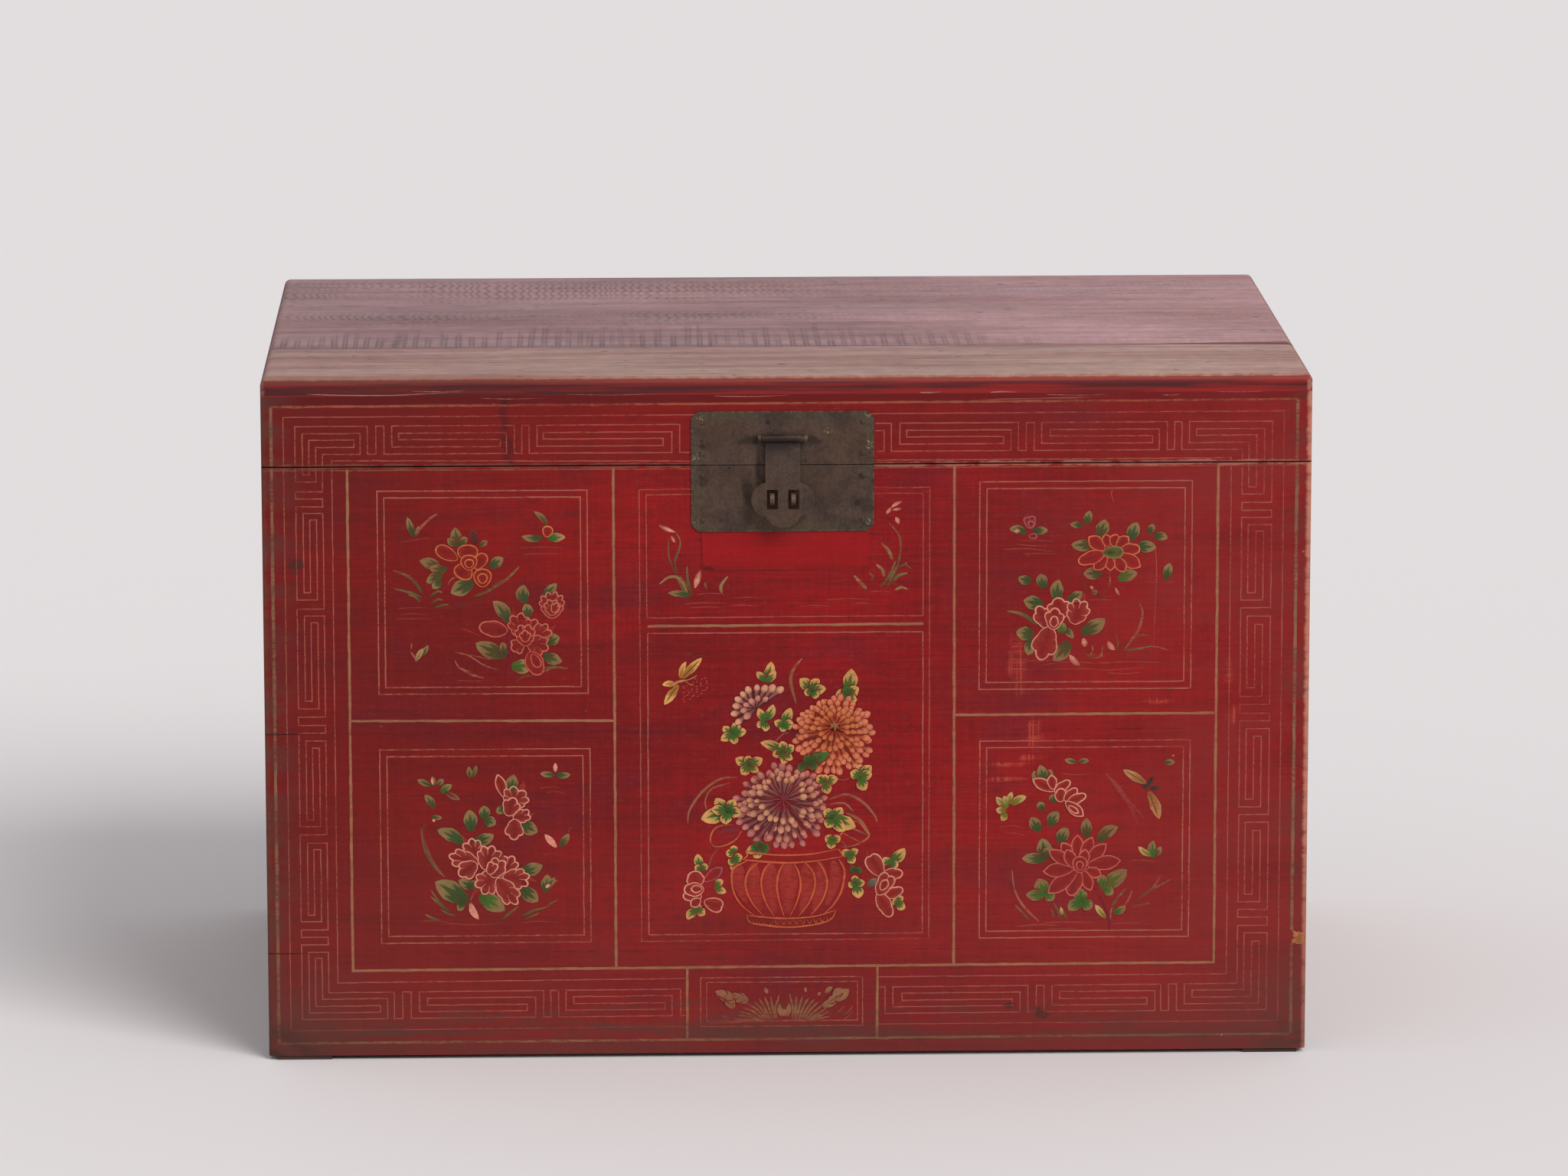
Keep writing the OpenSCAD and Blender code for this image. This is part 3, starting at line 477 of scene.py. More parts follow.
    # The edge of the lid turns down into the dark red of the sides, rubbed along the turn.
    ragged_edge = f.cloud((110, 110, 110), 52, 4.0, 0.6)
    down = f.less(top_z, f.z)
    turned = f.plus(down, f.grade(ragged_edge, 0.35, 0.65, -0.0002, 0.0003))
    over = f.grade(turned, 0.0012, 0.0026)
    bands = f.cloud((5, 5, 230), 53, 4.0, 0.6)
    more_red = f.grade(f.x, -0.25, 0.35)
    dark_band = f.mix(more_red, ink(68, 9, 9), ink(92, 11, 10))
    red_band = f.mix(more_red, ink(112, 18, 14), ink(136, 13, 11))
    sides = f.mix(f.grade(bands, 0.42, 0.58), dark_band, red_band)
    patchy = f.grade(f.cloud((12, 12, 60), 55, 3.0), 0.36, 0.62, 0.15, 0.8)
    sides = f.mix(f.times(f.band(down, 0.0072, 0.011, 0.0016), patchy), sides, ink(58, 12, 16))
    sides = f.mix(f.grade(down, 0.0026, 0.006, 0.5, 0.0), sides, ink(124, 56, 40))
    colour = f.mix(over, colour, sides)
    turn = f.times(f.band(turned, 0.0006, 0.0018, 0.0005), f.grade(ragged_edge, 0.35, 0.6, 0.5, 1.0))
    colour = f.mix(f.times(turn, 0.7), colour, ink(142, 82, 58))
    reach = f.less(f.corner, f.grade(ragged_edge, 0.38, 0.66, 0.0, 0.0026))
    rubbed = f.times(f.fall(reach, 0.0008, 0.003), f.grade(f.x, -0.2, 0.3, 0.45, 0.85))
    colour = f.mix(rubbed, colour, ink(160, 106, 88))

    # Underneath, the boards are bare. The walls of the split are painted dark as shade.
    underside = 0.0142
    below = f.grade(down, underside, underside + 0.0004)
    inner_x = f.grade(f.from_end, wall - skin, wall - skin / 2)
    inner_y = f.grade(f.from_face, wall - skin, wall - skin / 2)
    inside = f.times(inner_x, inner_y, below)
    wood = bare_wood(f, (5, 230, 230), (1.5, 30, 30))[0]
    # Painted shade darkens the walls of the split.
    split_walls_shade = f.times(f.grade(down, 0.001, 0.003), f.grade(f.from_face, 0.02, 0.03))
    split_walls_shade = f.times(split_walls_shade, f.grade(f.from_end, 0.0008, 0.002))
    colour = f.mix(split_walls_shade, colour, ink(48, 30, 26))
    colour = f.mix(inside, colour, wood)
    relief = f.plus(f.times(grain, 0.7), f.times(dust, 0.3))
    relief = f.less(relief, f.times(f.most(dark_ribs, specks), 0.35))
    f.show(colour, f.grade(streaks, 0.3, 0.7, 0.5, 0.62), relief, 0.0003, shine=0.3)
    return f


faded_top("faded_top").lay_on("lid_front_board", "lid_rear_board", "lid_pegs")


# ---- Bottom boards and runners
# Three bare boards sit in a groove round the foot of the walls. Two runners of the same wood,
# black with age, are nailed up into them and lift the chest off the ground.
def bottom_wood(name, dark):
    f = Finish(name)
    stripes = f.cloud((6, 210, 210), 61, 3.0)
    broad = f.cloud((1.4, 28, 28), 62, 2.0)
    stains = f.cloud((9, 9, 9), 63, 4.0)
    pale, deep = (ink(72, 52, 42), ink(46, 32, 28)) if dark else (ink(150, 112, 76), ink(112, 80, 52))
    colour = f.mix(f.grade(stripes, 0.35, 0.65), deep, pale)
    colour = f.mix(f.grade(broad, 0.4, 0.7, 0.0, 0.5), colour, deep)
    colour = f.mix(f.grade(stains, 0.5, 0.75, 0.0, 0.5), colour, ink(70, 50, 38))
    f.show(colour, f.grade(stains, 0.3, 0.7, 0.66, 0.84), stripes, 0.0004, shine=0.3)
    return f


bare_boards = bottom_wood("bottom_wood", dark=False)
bare_boards.lay_on("bottom_board_front", "bottom_board_middle", "bottom_board_rear")
bottom_wood("runner_wood", dark=True).lay_on("left_runner", "right_runner")


# ---- Lock set
# Plates, hasp, folded staples and eyes cut from sheet brass and left to go dark brown, greenish
# near the edges, with a few bright rubs. The nails that hold the plates are the same brass.
plate_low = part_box("lower_lock_plate")[0]
plate_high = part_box("upper_lock_plate")[1]
plate_x = (plate_low.x + plate_high.x) / 2
plate_half = (plate_high.x - plate_low.x) / 2


def dark_brass(name, tone=1.0, on_lock=True):
    f = Finish(name)
    mottle = f.cloud((55, 55, 55), 71, 4.0, 0.6)
    broad = f.cloud((14, 14, 14), 72, 2.0)
    fine = f.cloud((420, 420, 420), 73, 3.0)
    drawn = f.cloud((900, 60, 60), 74, 2.0)
    colour = f.mix(f.grade(mottle, 0.35, 0.65), ink(62, 46, 40), ink(80, 62, 52))
    colour = f.mix(f.grade(broad, 0.4, 0.66, 0.0, 0.7), colour, ink(80, 58, 42))
    far_inside = 0.02
    from_rim = f.less(plate_half, f.apart(f.x, plate_x))
    from_foot = f.less(f.z, plate_low.z)
    from_head = f.less(plate_high.z, f.z)
    near = f.math("MINIMUM", from_rim, f.math("MINIMUM", from_foot, from_head)) if on_lock else far_inside
    green = f.times(f.grade(near, 0.001, 0.011, 0.5, 0.0), f.grade(mottle, 0.38, 0.6, 0.1, 1.0))
    colour = f.mix(green, colour, ink(70, 70, 52))

    # Oil has run from the pin's eyes. A painted shadow lies left of the hasp, and painted shade darkens the
    # barrel between the eyes.
    stains_and_shade = []
    for x, z, wide, high, deep_mark in (
        (-0.029, 0.5185, 0.0115, 0.0062, 0.8), (0.0205, 0.519, 0.009, 0.0052, 0.7),
        (-0.0165, 0.5335, 0.0022, 0.0022, 0.9), (-0.024, 0.4985, 0.0038, 0.025, 0.8),
        (-0.0335, 0.476, 0.006, 0.012, 0.8), (0.057, 0.4665, 0.003, 0.003, 0.8),
        (-0.0695, 0.5137, 0.003, 0.0025, 0.8), (0.06, 0.4885, 0.0042, 0.0045, 0.5),
        (-0.0685, 0.484, 0.0042, 0.0045, 0.5), (-0.0045, 0.5165, 0.026, 0.0062, 0.75),
    ):
        far_off = f.plus(f.oval(x, z, wide, high), f.grade(mottle, 0.3, 0.7, -0.25, 0.25))
        stains_and_shade.append(f.grade(far_off, 0.4, 1.15, deep_mark, 0.0))
    # Oil stains, the hasp's painted shadow and the barrel's painted shade go on dark.
    colour = f.mix(f.most(*stains_and_shade), colour, ink(40, 28, 22))
    colour = f.shade(colour, f.grade(fine, 0.25, 0.75, 0.8, 1.2))
    colour = f.shade(colour, f.grade(drawn, 0.3, 0.7, 0.92, 1.08))
    pits = f.spots((130, 130, 130), 75, 0.25, 0.12)
    colour = f.mix(f.times(pits, 0.6), colour, ink(36, 26, 20))

    # Handling and cleaning have rubbed small places near the rim bright.
    bright = []
    for x, z, size in (
        (0.0335, 0.5262, 0.0045), (0.0665, 0.515, 0.006), (-0.0755, 0.5045, 0.006), (-0.071, 0.5365, 0.005),
        (0.0655, 0.5395, 0.005), (-0.0745, 0.4505, 0.004), (0.066, 0.451, 0.004),
    ):
        bright.append(f.fall(f.plus(f.apart(f.x, x), f.apart(f.z, z)), size * 0.3, size))
    rubs = f.times(f.most(*bright), f.grade(f.cloud((700, 700, 700), 76, 2.0), 0.53, 0.62))
    edge = f.times(f.grade(near, 0.0, 0.0008, 0.35, 0.0), f.grade(fine, 0.45, 0.65))
    colour = f.mix(f.times(f.most(rubs, edge), 0.8), colour, ink(160, 150, 104))
    relief = f.less(f.plus(f.times(mottle, 0.5), f.times(fine, 0.2)), f.times(pits, 0.5))
    roughness = f.grade(mottle, 0.3, 0.7, 0.5, 0.66)
    f.show(f.shade(colour, tone), roughness, relief, 0.0002, shine=0.4, metal=0.55)
    return f


plate_brass = dark_brass("dark_brass")
plate_brass.lay_on("lower_lock_plate", "upper_lock_plate", "hasp_pin")
plate_brass.lay_on("lower_plate_nails", "upper_plate_nails")
dark_brass("hasp_brass", 0.8).lay_on("hasp")
# The eyes and staples take a lighter copy of the brass: partly rubbed bright by handling, partly a painted
# highlight on their rounded ends.
dark_brass("rubbed_and_highlit_brass", 1.7).lay_on("left_hasp_eye", "right_hasp_eye", "left_staple", "right_staple")


# ---- Hinges and iron nails
# Square leaves cut from the same sheet brass and curled round iron pins at the back, nailed through
# the boards. Pins and nails, also those under the runners, are wrought iron, black and a bit rusty.
def black_iron(name):
    f = Finish(name)
    scale = f.cloud((160, 160, 160), 81, 4.0, 0.65)
    rust = f.cloud((40, 40, 40), 82, 3.0)
    colour = f.mix(f.grade(scale, 0.35, 0.65), ink(34, 31, 30), ink(62, 57, 54))
    colour = f.mix(f.grade(rust, 0.52, 0.7, 0.0, 0.75), colour, ink(92, 54, 36))
    f.show(colour, f.grade(scale, 0.3, 0.7, 0.5, 0.75), scale, 0.0003, shine=0.4, metal=0.6)
    return f


iron = black_iron("black_iron")
iron.lay_on("left_hinge_pin", "right_hinge_pin", "hinge_lower_nails", "hinge_upper_nails", "runner_nails")
leaf_brass = dark_brass("leaf_brass", on_lock=False)
for side in ("left", "right"):
    leaf_brass.lay_on(f"{side}_hinge_lower_leaf", f"{side}_hinge_upper_leaf")


# ---- Gold border, key fret and panel frames
# Lines of gold and pink size paint drawn with a rule and a fine brush over box and lid alike: a
# broad line round the whole front, thin lines inside it, one unbroken key fret between them, and
# two thin lines round each panel.
paint_finish = red_lacquer("painted_ornament", painted=True)
gold = ink(146, 96, 68)
rose = ink(154, 80, 66)
black = ink(0, 0, 0)
metre = 1000


def fade(a, b, share):
    """A tone between a and b, the given share of the way."""
    share = min(1.0, max(0.0, share))
    return tuple(p + (q - p) * share for p, q in zip(a, b))


class Brush:
    """Paint on the front. Places are millimetres right of the middle and up from the floor."""

    # The patch whose paint counts as one height, the height of the bare ground, one coat more, how
    # far a stroke's middle stands over its edges, and how deep it is rooted in the board.
    patch, ground, coat, ridge, root = 1.3, 0.02, 0.008, 0.02, -0.05

    def __init__(self, name, body, seed):
        self.name = name
        self.body = body
        self.hand = random.Random(seed)
        self.points = []
        self.under = []
        self.faces = []
        self.tones = []
        self.height = {}

    def touch(self, path, widths, edge, crown, strength=1.0):
        """One low closed ridge of paint along the path, laid over what is already there."""
        first = len(self.points)
        loop = path[0] == path[-1]
        sides = []
        covered = set()
        for i, (x, z) in enumerate(path):
            last = path[i - 1] if i else (path[-2] if loop else path[0])
            following = path[i + 1] if i + 1 < len(path) else (path[1] if loop else path[-1])
            a = Vector((x - last[0], z - last[1])).normalized()
            b = Vector((following[0] - x, following[1] - z)).normalized()
            a, b = (a if a.length else b), (b if b.length else a)
            aside = Vector((-a.y - b.y, a.x + b.x)).normalized()
            aside = aside if aside.length else Vector((-a.y, a.x))
            aside *= widths[i] / 2 / max(0.6, abs(aside.dot(Vector((-a.y, a.x)))))
            sides.append(aside)
            for k in (-1, -0.5, 0, 0.5, 1):
                covered.add((round((x + aside.x * k) / self.patch), round((z + aside.y * k) / self.patch)))
        lift = max(self.height.get(cell, self.ground) for cell in covered) + self.coat
        self.height.update((cell, lift + self.ridge) for cell in covered)
        for i, ((x, z), aside) in enumerate(zip(path, sides)):
            places = (
                (x + aside.x, z + aside.y, lift), (x, z, lift + self.ridge),
                (x - aside.x, z - aside.y, lift), (x, z, self.root),
            )
            self.points += [(px / metre, front_y - out / metre, pz / metre) for px, pz, out in places]
            tone_edge = edge[i] if isinstance(edge, list) else edge
            tone_crown = crown[i] if isinstance(crown, list) else crown
            self.tones += [(*tone[:3], strength) for tone in (tone_edge, tone_crown, tone_edge, tone_edge)]
        for i in range(first, len(self.points) - 4, 4):
            self.faces += [(i, i + 1, i + 5, i + 4), (i + 1, i + 2, i + 6, i + 5)]
            self.under += [(i + 2, i + 3, i + 7, i + 6), (i + 3, i, i + 4, i + 7)]
        if not loop:
            end = len(self.points) - 4
            self.under += [(first, first + 3, first + 2, first + 1), (end, end + 1, end + 2, end + 3)]

    def ruled(self, corners, width, tone, strength=1.0):
        """A line drawn with a rule from corner to corner, its width and place a little uneven."""
        step, waver = 7.0, 0.09
        path = []
        for (x0, z0), (x1, z1) in zip(corners, corners[1:]):
            parts = max(1, round(math.hypot(x1 - x0, z1 - z0) / step))
            path += [(x0 + (x1 - x0) * i / parts, z0 + (z1 - z0) * i / parts) for i in range(parts)]
        path.append(corners[-1])
        widths = [width * self.hand.uniform(0.8, 1.15) for _ in path]
        moved = [(x + self.hand.gauss(0, waver), z + self.hand.gauss(0, waver)) for x, z in path]
        if path[0] == path[-1]:
            widths[-1] = widths[0]
            moved[-1] = moved[0]
        self.touch(moved, widths, fade(tone, black, 0.2), tone, strength)

    def strokes(self, tone, end, strength, lines):
        """Free strokes, each a width and its places. They swell early, thin out and change tone."""
        for width, *places in lines:
            path = curve(places)
            shares = [i / (len(path) - 1) for i in range(len(path))]
            widths = [width * taper(share, 0.35, 0.22) * self.hand.uniform(0.88, 1.1) for share in shares]
            crown = [fade(tone, end, share) for share in shares]
            self.touch(path, widths, [fade(t, black, 0.25) for t in crown], crown, strength)

    def piece(self):
        """All the strokes as one mesh, with the tones and the flat map that baking goes by."""
        mesh = bpy.data.meshes.new(self.name)
        mesh.from_pydata(self.points, [], self.under + self.faces)
        tones = mesh.color_attributes.new("paint", "FLOAT_COLOR", "POINT")
        tones.data.foreach_set("color", [part for tone in self.tones for part in tone])
        low = [min(point[axis] for point in self.points) for axis in (0, 2)]
        span = max(max(point[axis] for point in self.points) - base for axis, base in zip((0, 2), low))
        flat = mesh.uv_layers.new(name="OFBake")
        for corner in mesh.loops:
            x, _, z = self.points[corner.vertex_index]
            flat.uv[corner.index].vector = ((x - low[0]) / span, (z - low[1]) / span)
        mesh.materials.append(paint_finish.material)
        made = bpy.data.objects.new(self.name, mesh)
        bpy.context.scene.collection.objects.link(made)
        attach(made, self.body)


def curve(places):
    """A smooth path through all the places."""
    parts = 6
    ends = [places[0], *places, places[-1]]
    path = []
    for around in zip(ends, ends[1:], ends[2:], ends[3:]):
        for n in range(parts):
            path.append(tuple(between(*values, n / parts) for values in zip(*around)))
    return path + [places[-1]]


def between(p, q, r, s, t):
    """The value at the share t between q and r, in a smooth run with p before and s after."""
    bend = (2 * p - 5 * q + 4 * r - s) * t * t / 2
    twist = (3 * q - p - 3 * r + s) * t ** 3 / 2
    return q + (r - p) * t / 2 + bend + twist


def taper(share, fattest, tip):
    """The share of its full width a stroke has along the way: a swell with thin ends."""
    if share < fattest:
        swell = math.sin(math.pi / 2 * share / fattest)
    else:
        swell = math.cos(math.pi / 2 * (share - fattest) / (1 - fattest))
    return tip + (1 - tip) * max(0.0, swell) ** 0.75


# Painted lines stop about half a millimetre short of the seam, on the box and on the lid.
seam_low = rim_z * metre - 0.5
seam_high = lid_z * metre + 0.6
on_box = Brush("border_box", "box", 1)
on_cover = Brush("border_lid", "lid", 2)


def across_seam(corners, width, tone, strength=1.0):
    """Draws a ruled line on box and lid, broken where it crosses the seam between them."""
    runs = [[corners[0]]]
    for (x0, z0), (x1, z1) in zip(corners, corners[1:]):
        if (z0 > seam_low) != (z1 > seam_low):
            down = z1 < z0
            runs[-1].append((x0, seam_high if down else seam_low))
            runs.append([(x1, seam_low if down else seam_high)])
        runs[-1].append((x1, z1))
    for run in runs:
        brush = on_cover if max(z for _, z in run) > seam_low + 0.1 else on_box
        brush.ruled(run, width, tone, strength)


# The five levels of the fret on each side, from the outermost in. The foot rises to the right.
fret_width = 1.05
foot_slope = 0.0028
fret = {
    "left": (-402.0, -396.1, -390.8, -385.2, -379.9),
    "lid": (532.0, 526.0, 520.6, 514.6, 508.8),
    "right": (397.3, 390.8, 384.6, 378.2, 372.8),
    "foot": (35.6, 41.2, 46.7, 52.7, 58.2),
}


def fret_place(level, side, along):
    """Where a level of the fret is, along one side: x along lid and foot, z along the columns."""
    if side in ("left", "right"):
        return (fret[side][level], along)
    slope = foot_slope if side == "foot" else 0.0
    return (along, fret[side][level] + slope * along)


def draw_fret(moves):
    """One unbroken line through (level, side, along), turning the corner where the side changes."""
    path = [fret_place(*moves[0])]
    for (_, side0, _), (level, side, along) in zip(moves, moves[1:]):
        if side != side0:
            column, beam = (side, side0) if side in ("left", "right") else (side0, side)
            x = fret[column][level]
            path.append((x, fret_place(level, beam, x)[1]))
        place = fret_place(level, side, along)
        if place != path[-1]:
            path.append(place)
    across_seam(path, fret_width, rose, 0.86)


def key_units(base, units):
    """The fret's unit: out along the base level, back, in to the middle, back again and out."""
    moves = []
    levels = (0, 1, 2, 3, 4) if base == 0 else (4, 3, 2, 1, 0)
    for a, b, c, d, e, f, *zigzag in units:
        steps = [(0, a), (0, e), (3, e), (3, c), (2, c), (2, d), (1, d), (1, b), (4, b), (4, f), (0, f)]
        if zigzag:
            g, h = zigzag
            steps += [(0, g), (4, g), (4, h), (0, h)]
        moves += [(levels[n], *place) for n, place in steps]
    return moves


def at(side, *places):
    """Places along one side of the fret."""
    return [(side, place) for place in places]


lid_left = [
    at("left", 478, 486, 492) + at("lid", -354, -349, -343, -336, -329.5),
    at("lid", -329.5, -323, -317.5, -234.5, -229.5, -223, -217, -211),
    at("lid", -211, -204.5, -199.5, -101.5, -94.5, -88),
]
draw_fret(key_units(4, lid_left) + [(4, "lid", -80)])
left_down = [
    at("left", 465.5, 460, 454.5, 394, 388, 380.5),
    at("left", 380.5, 374.5, 369, 303.5, 297, 290, 283, 276.5),
    at("left", 276.5, 270, 264, 203.5, 198, 191),
    at("left", 191, 184, 178.5, 123, 117.5, 110.5, 104.3, 98),
    at("left", 98, 91.5, 86.5) + at("foot", -337.5, -331.5, -326, -319, -312),
    at("foot", -312, -305, -298.5, -216, -209, -202.5, -196.5, -190),
    at("foot", -190, -184, -177.5, -102, -96, -89),
]
zigzag_top = [(4, "left", 478), (0, "left", 478), (0, "left", 472), (4, "left", 472), (4, "left", 465.5)]
draw_fret(zigzag_top + key_units(0, left_down) + [(0, "foot", -85)])
right_round = [
    at("lid", 85, 92, 97.5, 177, 183, 189, 195.5, 202),
    at("lid", 202, 208, 215, 299, 304.5, 311, 317, 323),
    at("lid", 323, 329, 335) + at("right", 477.5, 471.5, 464.5, 458, 452),
    at("right", 452, 446, 440.5, 389, 383, 376.5),
    at("right", 376.5, 369.5, 362.5, 309.5, 302, 295.5, 288, 281.5),
    at("right", 281.5, 275, 268.5, 215.5, 209, 202.5),
    at("right", 202.5, 196, 189, 135, 128.5, 122, 115.5, 108.5),
    at("right", 108.5, 102, 95) + at("foot", 335.5, 329, 322.5, 316, 309.5),
    at("foot", 309.5, 304.5, 298, 225.5, 219, 212.5, 206, 199),
    at("foot", 199, 192.5, 186, 94.5, 87, 80.5),
]
draw_fret([(0, "lid", 72), (0, "lid", 85)] + key_units(4, right_round) + [(4, "foot", 76)])
draw_fret([(1, "lid", 72), (1, "lid", 79), (4, "lid", 79), (4, "lid", 72)])

# The widths of the lines: round the whole front, along the lid, between the panels, down to the
# foot, along the rim of the box, and the thin ones beside the fret.
outermost, along_lid, broad, to_foot, along_rim, thin = 2.8, 2.0, 2.3, 2.2, 1.1, 1.0
smoked = ink(132, 98, 72)
across_seam([(-421.5, 14.0), (-421.5, 548.2)], outermost, smoked, 0.78)
on_cover.ruled([(-421.5, 548.2), (417.8, 550.2)], along_lid, ink(150, 82, 58), 0.75)
across_seam([(417.8, 550.2), (417.8, 104.6)], outermost, smoked, 0.85)
on_box.ruled([(417.8, 92.6), (417.8, 16.0)], outermost, smoked, 0.8)
on_box.ruled([(417.8, 16.0), (-421.5, 14.0)], broad, smoked, 0.8)
across_seam([(-411.5, 25.0), (-411.5, 539.6), (406.8, 540.4), (406.8, 27.2)], thin, rose, 0.8)
on_box.ruled([(-411.5, 25.0), (-83.5, 26.0)], thin, rose, 0.7)
on_box.ruled([(73.9, 26.8), (406.8, 27.2)], thin, rose, 0.7)
across_seam([(-77, 501.6), (-372.3, 503.6), (-372.3, 65.4), (-83.5, 67.0)], thin, rose, 0.85)
across_seam([(73, 501.4), (363.8, 501.8), (363.8, 67.4), (73.9, 67.2)], thin, rose, 0.85)
on_box.ruled([(-359.8, 496.2), (-359.8, 75.6), (353.2, 77.4), (353.2, 496.2)], broad, gold)
on_box.ruled([(-142.6, 496.2), (-142.2, 77.0)], broad, gold)
on_box.ruled([(136.8, 496.2), (137.4, 77.0)], broad, gold)
on_box.ruled([(-358.5, 286.4), (-142.6, 285.4)], broad, gold)
on_box.ruled([(137.2, 288.2), (352, 288.6)], broad, gold)
on_box.ruled([(-115, 364.2), (111.5, 365.0)], broad, gold)
on_box.ruled([(-83.4, 76.5), (-83.6, 16.0)], to_foot, gold)
on_box.ruled([(74.2, 77.0), (73.8, 16.0)], to_foot, gold)
on_box.ruled([(-428, 495.4), (-79, 495.2)], along_rim, gold, 0.45)
on_box.ruled([(71, 495.2), (427, 495.6)], along_rim, gold, 0.45)


# Two lines round each panel. Those of the middle panel stop short at the lock plate.
def box_line(left, high, right, low, width=1.1):
    corners = [(left, high), (right, high), (right, low), (left, low), (left, high)]
    on_box.ruled(corners, width, ink(160, 90, 72), 0.88)


for left, high, right, low, inset in (
    (-335.7, 478.0, -164.0, 308.6, 5.6),
    (-335.7, 262.0, -162.8, 98.7, 5.8),
    (157.6, 483.0, 332.0, 309.5, 5.8),
    (158.4, 266.0, 332.0, 99.6, 5.6),
):
    box_line(left, high, right, low)
    box_line(left + inset, high - inset, right - inset, low + inset)
for corners in (
    [(-78.8, 478.4), (-121.4, 478.0), (-121.0, 98.7), (116.6, 99.4), (116.6, 478.6), (70.8, 478.8)],
    [(-78.8, 474.0), (-115.8, 473.6), (-115.4, 371.2), (111.3, 371.8), (111.3, 473.8), (70.8, 474.0)],
):
    on_box.ruled(corners, 0.95, rose, 0.85)
box_line(-115.0, 358.2, 111.3, 104.2)
for left, high, right, low in ((-72.4, 67.4, 61.8, 25.8), (-67.4, 63.4, 57.6, 30.4)):
    box_line(left, high, right, low, 0.9)

# Loose pink marks along the top of the lid's front.
on_cover.strokes(ink(178, 118, 108), ink(150, 84, 76), 0.8, [
    (1.0, (-392, 558.6), (-360, 557.6), (-322, 557.4), (-292, 558.6), (-268, 559.8)),
    (0.7, (-306, 560.6), (-280, 560.2), (-262, 561)), (1.3, (108, 557.4), (116, 557.2), (126, 557.8)),
    (1.2, (166, 557.2), (176, 557.6), (188, 557.2)), (0.9, (306, 554.4), (314, 554), (321, 554.6)),
    (0.6, (-250, 554.6), (-225, 553.8), (-196, 554.6)), (0.7, (-60, 555.4), (-30, 554.8), (2, 555.8)),
    (0.6, (-180, 557.4), (-140, 556.6), (-104, 557.6)), (0.6, (212, 555), (240, 554.4), (262, 555)),
    (0.7, (350, 556.8), (372, 556.4), (396, 557.2)),
])
on_box.piece()
on_cover.piece()


# ---- Spray in the upper left panel
# Two peonies, one plain with amber outlines and one frilled, with their leaves, grass and three
# insects. Ground pigments bound in size, laid on dark first and pale over it with a pointed brush.
wine = ink(84, 20, 28)
deep = ink(50, 70, 34)
vivid = ink(50, 92, 34)
olive = ink(126, 102, 64)
tan = ink(156, 118, 80)
dusk = ink(156, 86, 68)
faint = ink(146, 68, 54)
amber = ink(190, 106, 62)
blush = ink(138, 34, 20)
brown = ink(92, 44, 34)
plum = ink(110, 26, 40)


